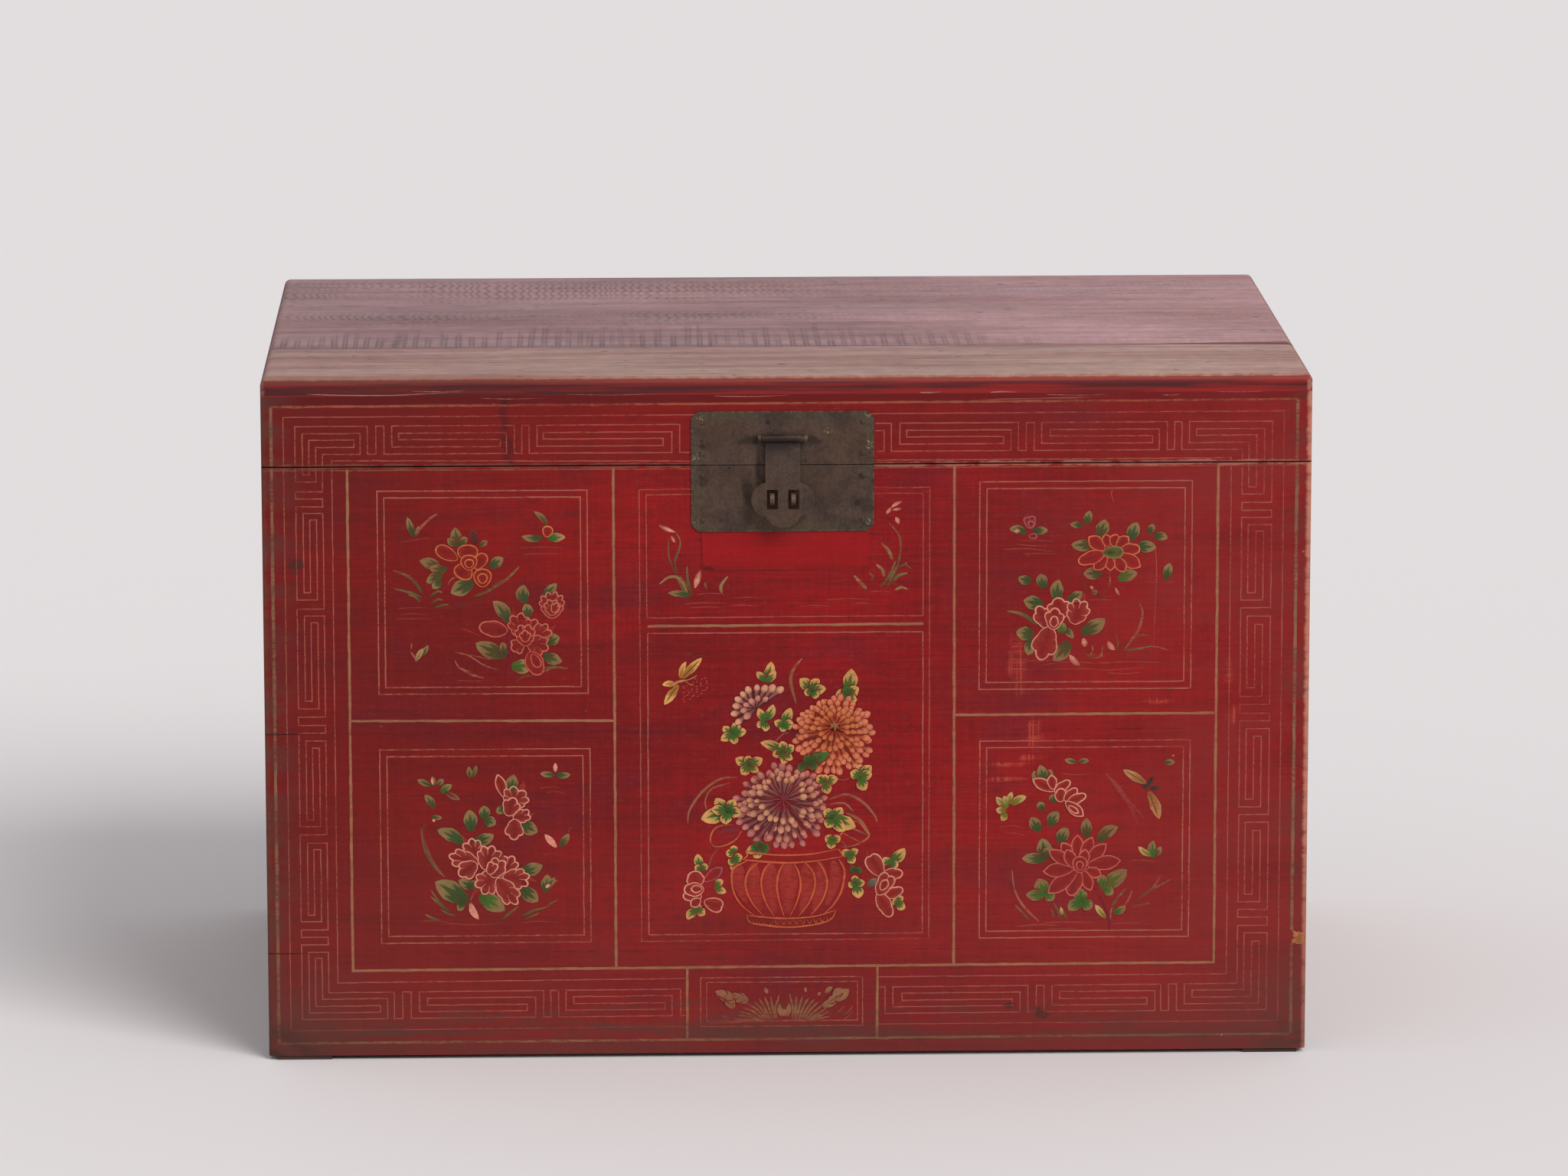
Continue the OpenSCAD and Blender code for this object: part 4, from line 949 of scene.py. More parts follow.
class FlowerBrush(Brush):
    """A brush that also paints leaves and petals."""

    def leaves(self, heart, rim, shapes):
        """Leaves from base to tip, each with its width: a pale ground, then pointed green strokes."""
        strength, last, wide, narrow = 0.95, 9, 5.5, 3
        dark = fade(heart, black, 0.3)
        for base, tip, width in shapes:
            base, along = Vector(base), Vector(tip) - Vector(base)
            side = Vector((-along.y, along.x)).normalized()
            sag = side * along.length * self.hand.uniform(-0.09, 0.09)
            stops = range(last + 1)
            path = [tuple(base + along * i / last + sag * math.sin(math.pi * i / last)) for i in stops]
            widths = [width * taper(i / last, 0.52, 0.06) * self.hand.uniform(0.94, 1.06) for i in stops]
            if width > wide:
                self.touch(path[1:last:2], [w + 2.0 for w in widths[1:last:2]], wine, wine, 0.42)
            edge = [fade(heart, rim, 0.3 + i / last) for i in stops]
            crown = [fade(heart, rim, (i / last - 0.3) / 0.5) for i in stops]
            self.touch(path, widths, edge, crown, strength)
            leans = (0.0,) if width < wide else (-0.34, 0.34, 0.0)
            for lean in leans if width > narrow else ():
                reach = (0.8 - abs(lean) * 0.6) * self.hand.uniform(0.9, 1.1)
                bow = side * lean * width
                vein = []
                for s in (0.02, 0.25, 0.5, 0.75, 1.0):
                    vein.append(tuple(base + along * reach * s + bow * s ** 0.6 + sag * s * 0.7))
                across = [width * k for k in (0.22, 0.36, 0.32, 0.18, 0.03)]
                tones = [dark, dark, heart, heart, fade(heart, rim, 0.4)]
                self.touch(vein, across, heart, tones, strength)

    def petals(self, rim, fill, shapes, depth=0.5):
        """Petals from base to tip, each with its width and scallops: 0 is round and 1 pointed."""
        for base, tip, width, scallops in shapes:
            base, along = Vector(base), Vector(tip) - Vector(base)
            side = Vector((-along.y, along.x)).normalized() * width / 2

            def rounding(turn):
                outer = (1 - math.cos(turn)) / 2
                frill = outer * (0.34 * abs(math.sin(turn * scallops / 2)) - 0.12) if scallops > 1 else 0.0
                point = 1 - outer * (1 - abs(math.sin(turn))) if scallops == 1 else 1.0
                reach = 0.5 - 0.5 * math.cos(turn) * (1 + frill)
                spread = math.sin(turn) * (1 - 0.22 * math.cos(turn)) * (1 + frill) * point
                return reach, spread, outer

            steps = 20 + 4 * scallops
            rounds = [rounding(2 * math.pi * i / steps) for i in range(steps)]
            outline = [tuple(base + along * reach + side * spread) for reach, spread, _ in rounds]
            halves = [rounding(math.pi * (i + 0.3) / 8.6) for i in range(9)]
            path = [tuple(base + along * reach) for reach, _, _ in halves]
            widths = [width * abs(spread) for _, spread, _ in halves]
            self.touch(path, widths, fade(fill, rim, 0.16), fade(fill, wine, 0.5), depth)
            middle = base + along * 0.4
            for k in range(2, scallops - 1):
                reach, spread, _ = rounding(2 * math.pi * k / scallops)
                cusp = base + along * reach + side * spread
                inner = fade(rim, fill, 0.35)
                line = [tuple(cusp), tuple(cusp + (middle - cusp) * 0.5)]
                self.touch(line, [0.9, 0.3], inner, inner, 0.9)
            widths = [1.25 * (0.55 + 0.5 * outer) * self.hand.uniform(0.8, 1.15) for _, _, outer in rounds]
            self.touch(outline + outline[:1], widths + widths[:1], fade(rim, fill, 0.3), rim, 0.97)


spray = FlowerBrush("spray_left_top", "box", 11)
spray.strokes(brown, brown, 0.35, [(5.0, (-292, 382), (-275, 381.5), (-257.5, 385), (-239.5, 391))])
spray.strokes(faint, faint, 0.6, [
    (0.8, (-322.5, 371.5), (-307, 372), (-292, 371.5)), (0.7, (-317, 375.5), (-305.5, 376), (-294, 375)),
    (0.7, (-320.5, 380.5), (-308, 381), (-295.5, 381)), (0.8, (-318, 435.5), (-305.5, 437.5), (-292, 439)),
    (0.7, (-220.5, 430), (-202, 431), (-182.5, 430)), (0.8, (-218, 424.5), (-202, 425.5), (-185, 425)),
    (0.9, (-268.5, 364), (-260, 360.5), (-251.5, 356.5)),
    (0.7, (-275, 320.5), (-257.5, 319.5), (-240.5, 320.5)),
])
spray.strokes(deep, olive, 0.9, [
    (2.8, (-299, 392.5), (-305.5, 402.5), (-313, 408.5), (-323, 412)),
    (2.2, (-300, 389.5), (-309, 393.5), (-322.5, 397)), (1.7, (-301, 385.5), (-305.5, 390), (-311, 392)),
    (3.0, (-250, 392.5), (-239, 399), (-230, 404.5), (-220, 414.5)),
    (2.2, (-258, 390), (-247.5, 393.5), (-238, 398.5)), (1.9, (-293, 390.5), (-287, 394.5), (-283, 393.5)),
    (1.9, (-291.5, 385), (-286.5, 388), (-283, 387)), (1.9, (-289.5, 381), (-283.5, 383), (-278, 383.5)),
    (2.2, (-223, 318), (-217.5, 322.5), (-203.5, 325.5), (-192.5, 330), (-180.5, 329.5)),
    (1.5, (-207, 326.5), (-196, 330.5), (-185, 331)),
])
spray.leaves(deep, olive, [
    ((-269, 431.5), (-272, 447.5), 9.5), ((-270, 433), (-278.5, 438.5), 6.5),
    ((-268.5, 433.5), (-262, 439), 6.5), ((-252.5, 432.5), (-246, 436.5), 5.0),
    ((-283, 412), (-301.5, 420), 9.5), ((-279, 413), (-293.5, 414.5), 8.5), ((-283, 409), (-296, 402), 9.0),
    ((-284, 403), (-291, 397), 7.5), ((-243.5, 414), (-233, 422), 9.0), ((-258, 402), (-276, 393), 13.0),
    ((-227.5, 368), (-241.5, 386), 11.0), ((-216.5, 384.5), (-216, 399.5), 11.0),
    ((-212.5, 373), (-215.5, 383.5), 9.0), ((-200.5, 389), (-189.5, 400.5), 8.0),
    ((-198, 350.5), (-187, 355.5), 9.5), ((-200.5, 340.5), (-185.5, 335), 10.0),
    ((-231.5, 340), (-256, 351), 13.5), ((-232.5, 340), (-235, 351.5), 8.0),
    ((-306, 440), (-311, 456.5), 5.5), ((-305.5, 440.5), (-302, 449), 3.5),
    ((-196.5, 448.5), (-207.5, 460.5), 4.6), ((-200.5, 438.5), (-217.5, 440), 6.0),
    ((-300, 341), (-295, 349.5), 4.0),
])
spray.leaves(ink(60, 34, 34), brown, [((-255, 434), (-258.5, 447), 8.0)])
spray.leaves(vivid, tan, [((-196.5, 438), (-182, 439), 7.5), ((-226.5, 331), (-209.5, 334), 12.5)])
spray.leaves(olive, tan, [((-305.5, 336), (-299, 347), 4.6)])
spray.strokes(plum, plum, 0.85, [
    (3.0, (-230, 365.5), (-228, 356.5), (-229.5, 347.5), (-227.5, 339), (-230.5, 327.5), (-231.5, 319.5)),
])
spray.strokes(dusk, dusk, 0.9, [
    (2.4, (-305, 442.5), (-298, 450), (-291.5, 456), (-286.5, 459)),
    (1.2, (-270, 407), (-275.5, 404.5), (-278.5, 400)),
    (1.4, (-237, 328), (-250, 333), (-262.5, 341), (-274, 344)),
    (1.2, (-273.5, 337), (-269, 330), (-260, 327.5)), (2.3, (-268.5, 330.5), (-260, 325), (-249.5, 322)),
    (1.0, (-270, 342.5), (-255, 340), (-243, 337)), (1.2, (-309, 346.5), (-308.5, 351.5)),
    (1.6, (-309.5, 344), (-306.5, 340), (-305, 336)),
])
spray.petals(amber, blush, [
    ((-270.5, 421), (-287.5, 431), 10.5, 0), ((-262, 419.5), (-262, 433), 16.0, 0),
    ((-255.5, 413), (-248, 425.5), 9.5, 0), ((-262, 417), (-268.5, 405.5), 15.0, 0),
    ((-261, 412), (-261, 424.5), 13.0, 0), ((-260.5, 414), (-261, 421), 7.0, 0),
    ((-250, 398), (-250, 413), 14.0, 0), ((-250, 401), (-250, 409), 7.5, 0),
    ((-197.5, 439.5), (-195.5, 448), 8.0, 0),
])
frilled = ink(182, 100, 82)
spray.petals(frilled, blush, [
    ((-193, 371.5), (-193.5, 391.5), 18.0, 12), ((-193.5, 374), (-193, 386), 11.5, 8),
    ((-192.5, 376.5), (-189.5, 383.5), 6.0, 5), ((-230, 361), (-250.5, 364.5), 12.5, 3),
    ((-216.5, 355), (-222.5, 373.5), 16.0, 8), ((-215, 356), (-207, 369), 13.0, 7),
    ((-213, 353), (-196.5, 362.5), 14.5, 8), ((-214.5, 353.5), (-198.5, 346.5), 14.5, 7),
    ((-217, 351.5), (-225.5, 346), 11.0, 5), ((-215, 348.5), (-216, 365), 14.5, 8),
    ((-215.5, 352), (-215.5, 360.5), 8.0, 5),
])
spray.petals(ink(178, 84, 70), blush, [
    ((-212, 343.5), (-204.5, 326.5), 14.0, 3), ((-210, 341.5), (-204, 331), 7.0, 0),
])
spray.piece()


# ---- Spray in the lower left panel
# One large open peony and a bud over dark leaves and grass, in the same size paint. Each petal is
# filled thinly and edged in pale pink with the tip of the brush.
pink = ink(206, 136, 114)
dusk_brown = ink(130, 80, 58)
spray = FlowerBrush("spray_left_bottom", "box", 12)
spray.strokes(faint, faint, 0.6, [
    (0.8, (-199.5, 225), (-191, 226), (-183, 224)), (0.7, (-202.5, 172.5), (-195, 173.5), (-185.5, 172)),
    (0.8, (-285.5, 115.5), (-258, 114), (-232.5, 115.5)), (0.7, (-205, 229), (-195, 230), (-187.5, 229.5)),
    (0.7, (-304.5, 117), (-293, 117.5), (-280.5, 116.5)),
    (0.8, (-220, 115.5), (-205, 116.5), (-191, 115.5)),
])
spray.strokes(dusk_brown, brown, 0.85, [
    (3.0, (-283.5, 154.5), (-291.5, 164.5), (-298.5, 180), (-301.5, 192.5), (-298, 201)),
])
spray.strokes(deep, olive, 0.85, [
    (1.1, (-290, 159), (-299.5, 176.5), (-302.5, 196.5)), (2.2, (-279.5, 125), (-288, 132), (-295, 138)),
    (1.7, (-283, 128.5), (-290.5, 137), (-294.5, 143.5)), (2.2, (-287.5, 118), (-294, 120), (-299.5, 123)),
    (1.6, (-274.5, 121.5), (-281, 123.5), (-286.5, 127)), (2.3, (-236, 118.5), (-230, 123.5), (-223, 129)),
    (2.3, (-220, 121), (-210, 125.5), (-197.5, 129)), (1.7, (-217, 118.5), (-210, 121.5), (-205.5, 123.5)),
    (1.3, (-201, 128.5), (-195, 132), (-189.5, 135)), (0.9, (-181.5, 191), (-179, 196)),
])
spray.leaves(deep, olive, [
    ((-293.5, 231.5), (-305, 237), 5.2), ((-291.5, 231), (-293, 239.5), 4.2),
    ((-288.5, 231.5), (-283.5, 237), 4.8), ((-291, 213), (-299, 224), 6.8),
    ((-294, 205.5), (-285, 204.5), 4.2), ((-262, 238), (-263, 247.5), 4.6),
    ((-260, 238.5), (-256.5, 248.5), 3.6), ((-192, 240.5), (-204, 241.5), 5.2),
    ((-191, 240.5), (-179, 240.5), 5.6), ((-227.5, 226.5), (-225.5, 240.5), 9.8),
    ((-232.5, 213), (-240.5, 209), 7.2), ((-220, 199), (-206.5, 192), 12.0),
    ((-188.5, 180), (-180.5, 190.5), 6.2), ((-261, 193.5), (-262.5, 211), 11.5),
    ((-250, 203.5), (-250.5, 214.5), 9.5), ((-250, 202.5), (-241, 198.5), 9.5),
    ((-267.5, 183.5), (-289, 194), 11.0), ((-259.5, 184), (-242.5, 190), 10.0),
    ((-264.5, 133), (-291, 150.5), 17.5), ((-257, 144.5), (-272, 151.5), 9.5),
    ((-264.5, 146), (-253, 147), 9.5), ((-269, 133.5), (-272.5, 126), 6.5),
    ((-220.5, 145), (-206.5, 133.5), 12.5), ((-222, 158), (-202.5, 164), 11.0),
    ((-200.5, 141), (-198.5, 156), 9.0), ((-199.5, 145.5), (-192.5, 153.5), 5.0),
])
spray.leaves(vivid, olive, [((-286, 226), (-276.5, 232), 6.2), ((-254.5, 138.5), (-234, 126), 14.0)])
spray.leaves(brown, dusk_brown, [((-282.5, 227), (-270, 220), 5.2)])
spray.leaves(pink, pink, [
    ((-191, 179), (-200.5, 190), 5.5), ((-191.5, 242.5), (-191.5, 250), 3.4),
    ((-262.5, 132), (-255.5, 118.5), 5.6), ((-200, 144.5), (-196.5, 147.5), 2.6),
    ((-292, 232.5), (-293, 238), 2.0), ((-293, 203), (-291, 201.5), 2.4),
])
spray.strokes(dusk, dusk, 0.9, [
    (1.0, (-258, 142), (-261.5, 136.5), (-262.5, 132)), (1.4, (-194.5, 149), (-190, 151.5)),
])
spray.petals(pink, blush, [
    ((-233, 221), (-239, 240.5), 8.0, 1), ((-228.5, 212), (-221.5, 227.5), 19.0, 8),
    ((-231, 206), (-226, 219.5), 12.5, 5), ((-226.5, 204), (-213.5, 207), 10.0, 6),
    ((-225, 203), (-226, 187.5), 13.0, 5), ((-254, 170), (-264, 183.5), 15.0, 8),
    ((-255.5, 166), (-277, 172), 13.5, 7), ((-257, 166), (-270, 157), 13.5, 5),
    ((-250, 160.5), (-244, 178.5), 18.0, 9), ((-236, 155), (-227.5, 170), 13.5, 7),
    ((-235, 155), (-215.5, 151.5), 15.0, 8), ((-240, 157), (-254, 144.5), 18.0, 8),
    ((-240, 153), (-225.5, 133.5), 14.5, 7), ((-243.5, 154), (-238, 168.5), 13.5, 6),
    ((-247, 157), (-242.5, 166), 8.0, 4),
])
spray.piece()


# ---- Spray in the upper right panel
# A lotus-like flower with a green heart and a rose with ringed petals, among rounded leaves, with
# reeds at the right and an insect over water at the left, in the same size paint. An old scratch
# runs down beside it.
deep_vivid = ink(28, 72, 30)
coral = ink(198, 100, 70)
tan_stem = ink(152, 100, 70)
mauve = ink(146, 80, 88)
scratch_pink = ink(174, 80, 68)
spray = FlowerBrush("spray_right_top", "box", 13)
spray.strokes(faint, faint, 0.75, [
    (0.9, (177, 426.5), (198, 427), (220.5, 424)), (0.8, (187.5, 431), (201, 429.5), (214.5, 429.5)),
    (0.8, (192, 433.5), (204.5, 434), (220, 433)), (0.8, (192.5, 422.5), (207, 423), (222, 422.5)),
    (1.0, (247, 384), (259.5, 384), (271, 383.5)),
    (1.2, (207, 329.5), (232, 332), (257, 331), (282, 332), (308.5, 331)),
    (1.0, (214.5, 326), (244.5, 326.5), (263, 325), (293.5, 327)),
    (0.8, (294.5, 398.5), (307, 398), (318, 399)), (0.8, (194.5, 334), (207, 333), (219.5, 334)),
    (0.8, (263, 323), (277, 322), (291, 323)),
])
spray.strokes(scratch_pink, scratch_pink, 0.6, [
    (1.1, (302, 428), (303, 412.5), (303, 400), (302, 368.5), (301, 344.5)),
    (1.5, (299, 344.5), (307, 343.5), (314, 341)), (1.0, (266.5, 475.5), (265.5, 472), (268, 465)),
    (0.8, (327, 353.5), (326, 348.5), (326.5, 341.5)),
])
spray.strokes(deep, brown, 0.85, [
    (2.2, (248, 395), (252, 391.5), (257.5, 388.5)), (2.0, (259, 388.5), (263, 393), (268, 394.5)),
    (2.0, (267.5, 395), (272, 391.5), (274, 386.5)), (1.6, (272, 395.5), (275, 394), (277.5, 392.5)),
    (1.4, (254.5, 387.5), (264.5, 386.5), (274.5, 387.5)), (1.4, (243, 398), (246.5, 395), (250, 394)),
])
spray.strokes(deep, olive, 0.85, [
    (3.2, (205, 363.5), (197, 370), (189.5, 373.5), (180.5, 375)),
    (2.2, (275.5, 341.5), (286, 342.5), (300, 345)), (1.6, (285.5, 352), (292, 354.5), (299, 353.5)),
    (1.4, (269.5, 342), (272, 347), (270, 355)), (1.6, (247, 336.5), (254.5, 335.5), (261, 337)),
    (1.6, (243, 338.5), (251, 337.5), (254.5, 338)),
])
spray.strokes(tan_stem, tan_stem, 0.85, [
    (2.6, (277.5, 342.5), (283, 350.5), (288.5, 358.5), (292, 372.5), (289, 381.5)),
    (1.3, (264, 394), (265, 400), (264, 408)), (1.6, (248, 337), (251, 341), (250.5, 346)),
    (1.9, (252, 335), (258, 337.5), (259, 346)),
])
spray.leaves(deep, olive, [
    ((196, 440.5), (182, 443.5), 7.2), ((201.5, 442), (213.5, 442.5), 6.8),
    ((251, 431), (233, 430.5), 10.0), ((255, 437), (260.5, 451), 11.0), ((281, 433.5), (287, 448.5), 11.0),
    ((286, 428), (302.5, 427.5), 10.5), ((242, 446.5), (232, 447), 5.5), ((245, 447), (248, 458.5), 7.0),
    ((296, 440), (300, 447), 6.2), ((300.5, 438), (312, 435), 7.2), ((258, 406.5), (243, 406), 10.5),
    ((310.5, 401), (314, 414.5), 8.0), ((200, 400), (189.5, 403), 8.0), ((210.5, 394), (207.5, 406), 9.5),
    ((222, 383), (223, 401), 11.0), ((230.5, 384), (242, 391), 9.0), ((210, 379.5), (194, 384), 12.0),
    ((202, 355.5), (188, 357.5), 11.5), ((200, 352), (197.5, 338), 9.5),
    ((231.5, 349), (218.5, 333.5), 12.5), ((242, 356.5), (261, 368), 12.5), ((226, 361), (235, 352), 6.0),
    ((249.5, 389), (254.5, 391.5), 4.0),
])
spray.leaves(vivid, olive, [((271.5, 401.5), (287.5, 406), 10.0), ((224.5, 357), (224.5, 365.5), 8.5)])
spray.leaves(pink, dusk, [
    ((269, 342), (263.5, 349.5), 4.8), ((232, 338), (240.5, 329), 5.2), ((243, 352), (244.5, 344.5), 4.8),
    ((249, 395.5), (251.5, 393), 2.8), ((269.5, 394), (273, 387.5), 2.2), ((186, 442), (191, 442), 3.2),
])
spray.petals(mauve, blush, [
    ((200, 444), (198, 453.5), 8.5, 4), ((200, 445), (199.5, 450), 4.5, 0),
    ((198, 437.5), (204.5, 437.5), 4.0, 0),
])
spray.petals(coral, blush, [
    ((260, 426), (247.5, 436.5), 10.5, 1), ((263, 428.5), (261, 438.5), 7.5, 1),
    ((267, 429), (270, 438.5), 8.5, 1), ((270.5, 427.5), (279.5, 436.5), 9.0, 1),
    ((273, 425), (287.5, 426.5), 9.5, 3), ((272.5, 422), (289.5, 411.5), 11.0, 1),
    ((270, 419.5), (276.5, 407.5), 9.0, 1), ((265, 420), (265, 408.5), 7.5, 1),
    ((262, 420), (252, 409.5), 9.5, 1), ((260, 423), (241, 416.5), 10.5, 3),
])
spray.petals(ink(128, 116, 70), vivid, [((258.5, 423.5), (275.5, 424), 9.5, 0)], 0.97)
spray.leaves(deep_vivid, vivid, [((262.5, 423.5), (272, 424), 5.4)])
spray.petals(pink, blush, [
    ((215, 360.5), (206.5, 377), 13.0, 5), ((224.5, 368), (222, 384), 16.5, 5),
    ((235, 364), (241, 382.5), 16.5, 8), ((216, 361.5), (208.5, 337), 18.0, 5),
    ((218, 359.5), (220, 375.5), 13.5, 5), ((218.5, 361.5), (219.5, 369.5), 6.5, 3),
])
spray.piece()


# ---- Spray in the lower right panel
# A many-petalled flower with a bud above it and dark leaves round it, a yellow-green bloom at
# the left and a butterfly with gold wings at the right, brushed in size paint like the others.
spray = FlowerBrush("spray_right_bottom", "box", 14)
spray.strokes(ink(158, 84, 76), ink(146, 66, 62), 0.42, [
    (3.2, (265.5, 235), (276.5, 222), (287, 205)), (2.6, (271, 226), (281, 213), (289.5, 194.5)),
    (2.2, (278.5, 217), (288, 208), (294.5, 200)), (1.5, (262.5, 238.5), (270, 228), (275, 219.5)),
])
spray.strokes(faint, faint, 0.75, [
    (0.8, (175.5, 193.5), (187, 194.5), (195, 192.5)), (0.8, (179.5, 188.5), (188.5, 188), (197.5, 185.5)),
    (0.7, (225.5, 238.5), (238, 237), (248.5, 238)), (1.0, (281, 164), (293, 164.5), (305, 163)),
    (1.3, (189.5, 109), (207.5, 110.5), (225.5, 109.5)), (1.0, (210, 112), (233, 112.5), (256, 111.5)),
    (0.8, (166.5, 246), (178, 246.5), (194.5, 247.5)), (0.8, (168, 232), (182, 232.5), (197.5, 234)),
    (0.8, (268.5, 110.5), (284, 111.5), (303, 110.5)), (0.7, (215, 106.5), (225.5, 107), (240.5, 106.5)),
])
spray.strokes(dusk, tan_stem, 0.85, [
    (2.0, (208, 113), (194.5, 127), (187.5, 141), (185.5, 157)),
    (1.5, (267, 113), (268.5, 124.5), (276.5, 136.5)), (2.0, (278.5, 125.5), (282.5, 132), (285, 139)),
    (2.2, (290, 132), (302, 141), (308.5, 151.5)),
])
spray.strokes(deep, olive, 0.85, [
    (1.8, (200.5, 113.5), (193.5, 121.5), (188, 127.5)), (1.7, (226.5, 114), (223, 123.5), (220, 129)),
    (2.1, (232, 114.5), (228, 120.5), (225.5, 126)), (1.8, (220.5, 116.5), (218, 123.5)),
    (2.5, (268, 124), (272.5, 132), (280, 141)), (2.4, (287.5, 129.5), (299.5, 138.5), (317, 148)),
    (2.1, (283.5, 124.5), (291.5, 126.5), (300, 128)),
])
spray.strokes(plum, plum, 0.85, [
    (2.3, (266, 105), (266, 114.5), (261.5, 127), (256, 137.5), (252.5, 146.5)),
])
spray.leaves(deep, olive, [
    ((238.5, 247.5), (228.5, 250), 4.8), ((240, 247.5), (248.5, 249), 4.8),
    ((310.5, 246.5), (319.5, 247), 5.2), ((210.5, 207.5), (207.5, 214.5), 7.0),
    ((220, 214), (219, 221), 7.5), ((207.5, 189.5), (201, 201.5), 10.0), ((216, 194.5), (224, 205.5), 10.0),
    ((224, 180), (231.5, 192), 10.5), ((212.5, 166.5), (210, 183.5), 12.5),
    ((213, 166), (193.5, 166.5), 9.5), ((213.5, 167.5), (218.5, 176), 9.5),
    ((247.5, 184), (247, 200.5), 9.5), ((256, 181), (273, 193), 10.0), ((210.5, 232), (203, 240.5), 9.0),
    ((213, 232), (217.5, 241.5), 9.0), ((211.5, 232), (208, 245.5), 9.0), ((304, 168), (308.5, 176), 5.2),
])
spray.leaves(vivid, olive, [
    ((213.5, 136), (207.5, 149.5), 12.5), ((212, 136), (197, 136), 9.5),
    ((214.5, 136.5), (219, 130.5), 9.0), ((243, 129.5), (242.5, 141), 11.5),
    ((243, 129.5), (232.5, 122.5), 10.5), ((244.5, 129.5), (252, 124.5), 10.5),
    ((259, 141), (280.5, 156.5), 13.5), ((261.5, 143), (257, 152), 8.5), ((262.5, 141), (269, 135.5), 8.5),
    ((302, 166.5), (302.5, 181), 7.0), ((270, 120), (279.5, 126), 6.2),
])
spray.leaves(ink(104, 102, 34), ink(174, 146, 90), [
    ((182, 210), (172, 219), 6.2), ((182, 212), (178, 219.5), 5.2), ((182.5, 212.5), (185, 223), 5.2),
    ((184.5, 212.5), (197, 219), 6.8), ((180.5, 208), (172, 208.5), 6.2), ((180, 205.5), (176.5, 199), 6.0),
    ((227, 118.5), (226, 125), 3.0), ((300.5, 168), (290, 176), 5.0), ((263.5, 115.5), (254.5, 127), 5.0),
])
coral_rim = ink(186, 92, 80)
spray.petals(coral_rim, blush, [
    ((238, 164), (226.5, 179.5), 9.5, 1), ((239.5, 166), (239.5, 186), 9.5, 1),
    ((243, 165), (251.5, 184), 9.5, 1), ((246, 162), (263, 178.5), 10.0, 1),
    ((248, 160.5), (275, 164.5), 11.5, 1), ((247, 157), (259, 152), 8.5, 1),
    ((244.5, 156), (250.5, 139.5), 9.0, 1), ((241, 156), (234, 137.5), 12.0, 3),
    ((239, 156), (215.5, 137.5), 12.0, 1), ((237, 158.5), (211.5, 155.5), 11.5, 1),
    ((236.5, 160.5), (216, 173.5), 10.0, 1), ((237, 158.5), (230.5, 174), 9.5, 1),
    ((244, 160), (246, 174), 8.5, 1), ((241.5, 154.5), (241.5, 168), 11.5, 0),
    ((241.5, 156.5), (241.5, 164), 5.5, 0),
])
spray.petals(pink, blush, [
    ((220.5, 224), (202.5, 233.5), 9.0, 1), ((219, 225), (217.5, 237), 7.5, 1),
    ((220.5, 222.5), (231.5, 231), 7.5, 3), ((224.5, 214.5), (226, 224.5), 9.0, 3),
    ((228.5, 215.5), (237.5, 224.5), 7.5, 3), ((231, 214), (244.5, 219.5), 7.5, 3),
    ((229.5, 214.5), (244, 202.5), 9.0, 1), ((232, 211), (240, 205), 4.0, 1),
])
spray.leaves(ink(140, 92, 50), ink(166, 118, 74), [
    ((296.5, 229), (277, 241), 7.2), ((298.5, 222.5), (307, 199.5), 9.0),
])
spray.leaves(ink(36, 42, 40), brown, [
    ((301.5, 235), (295, 223), 5.0), ((299.5, 225.5), (308, 226.5), 4.6),
    ((296.5, 226.5), (291.5, 228), 3.4),
])
spray.strokes(ink(70, 50, 30), ink(90, 60, 36), 0.8, [
    (0.6, (295, 230), (286.5, 235.5), (279, 240)), (0.6, (299.5, 220.5), (302.5, 210.5), (306, 201.5)),
])
spray.piece()


# ---- Orchids below the lock
# A small orchid in grass on each side of the lock plate, a few strokes of size paint each. Between
# them is the mark of an older plate: a dark foot line and a run of dirt from its left nail.
spray = FlowerBrush("orchids", "box", 15)
spray.strokes(ink(78, 18, 22), ink(84, 18, 20), 0.75, [
    (1.1, (-62.5, 410), (-29, 410.5), (17, 410), (56.5, 409.5)),
    (1.4, (-71, 443), (-70.5, 427.5), (-70, 413.5)), (4.6, (-71, 415), (-67, 412.5), (-60.5, 411.5)),
])
spray.strokes(faint, faint, 0.75, [
    (1.0, (-85, 382.5), (-70, 383.5), (-48.5, 383)), (0.8, (-74.5, 390.5), (-62.5, 391.5), (-51.5, 390.5)),
    (0.9, (-47, 381), (-35, 381.5), (-24, 380)), (0.8, (-80.5, 379.5), (-65.5, 380), (-56, 379.5)),
    (0.9, (67, 392), (76, 392.5), (85.5, 391.5)), (1.0, (32, 385.5), (50.5, 386.5), (67.5, 385.5)),
    (1.0, (10.5, 380), (21.5, 381), (34, 380)), (0.8, (55, 382.5), (62.5, 382.5), (71.5, 381.5)),
    (0.8, (-44, 387.5), (-32, 388), (-19.5, 387)),
])
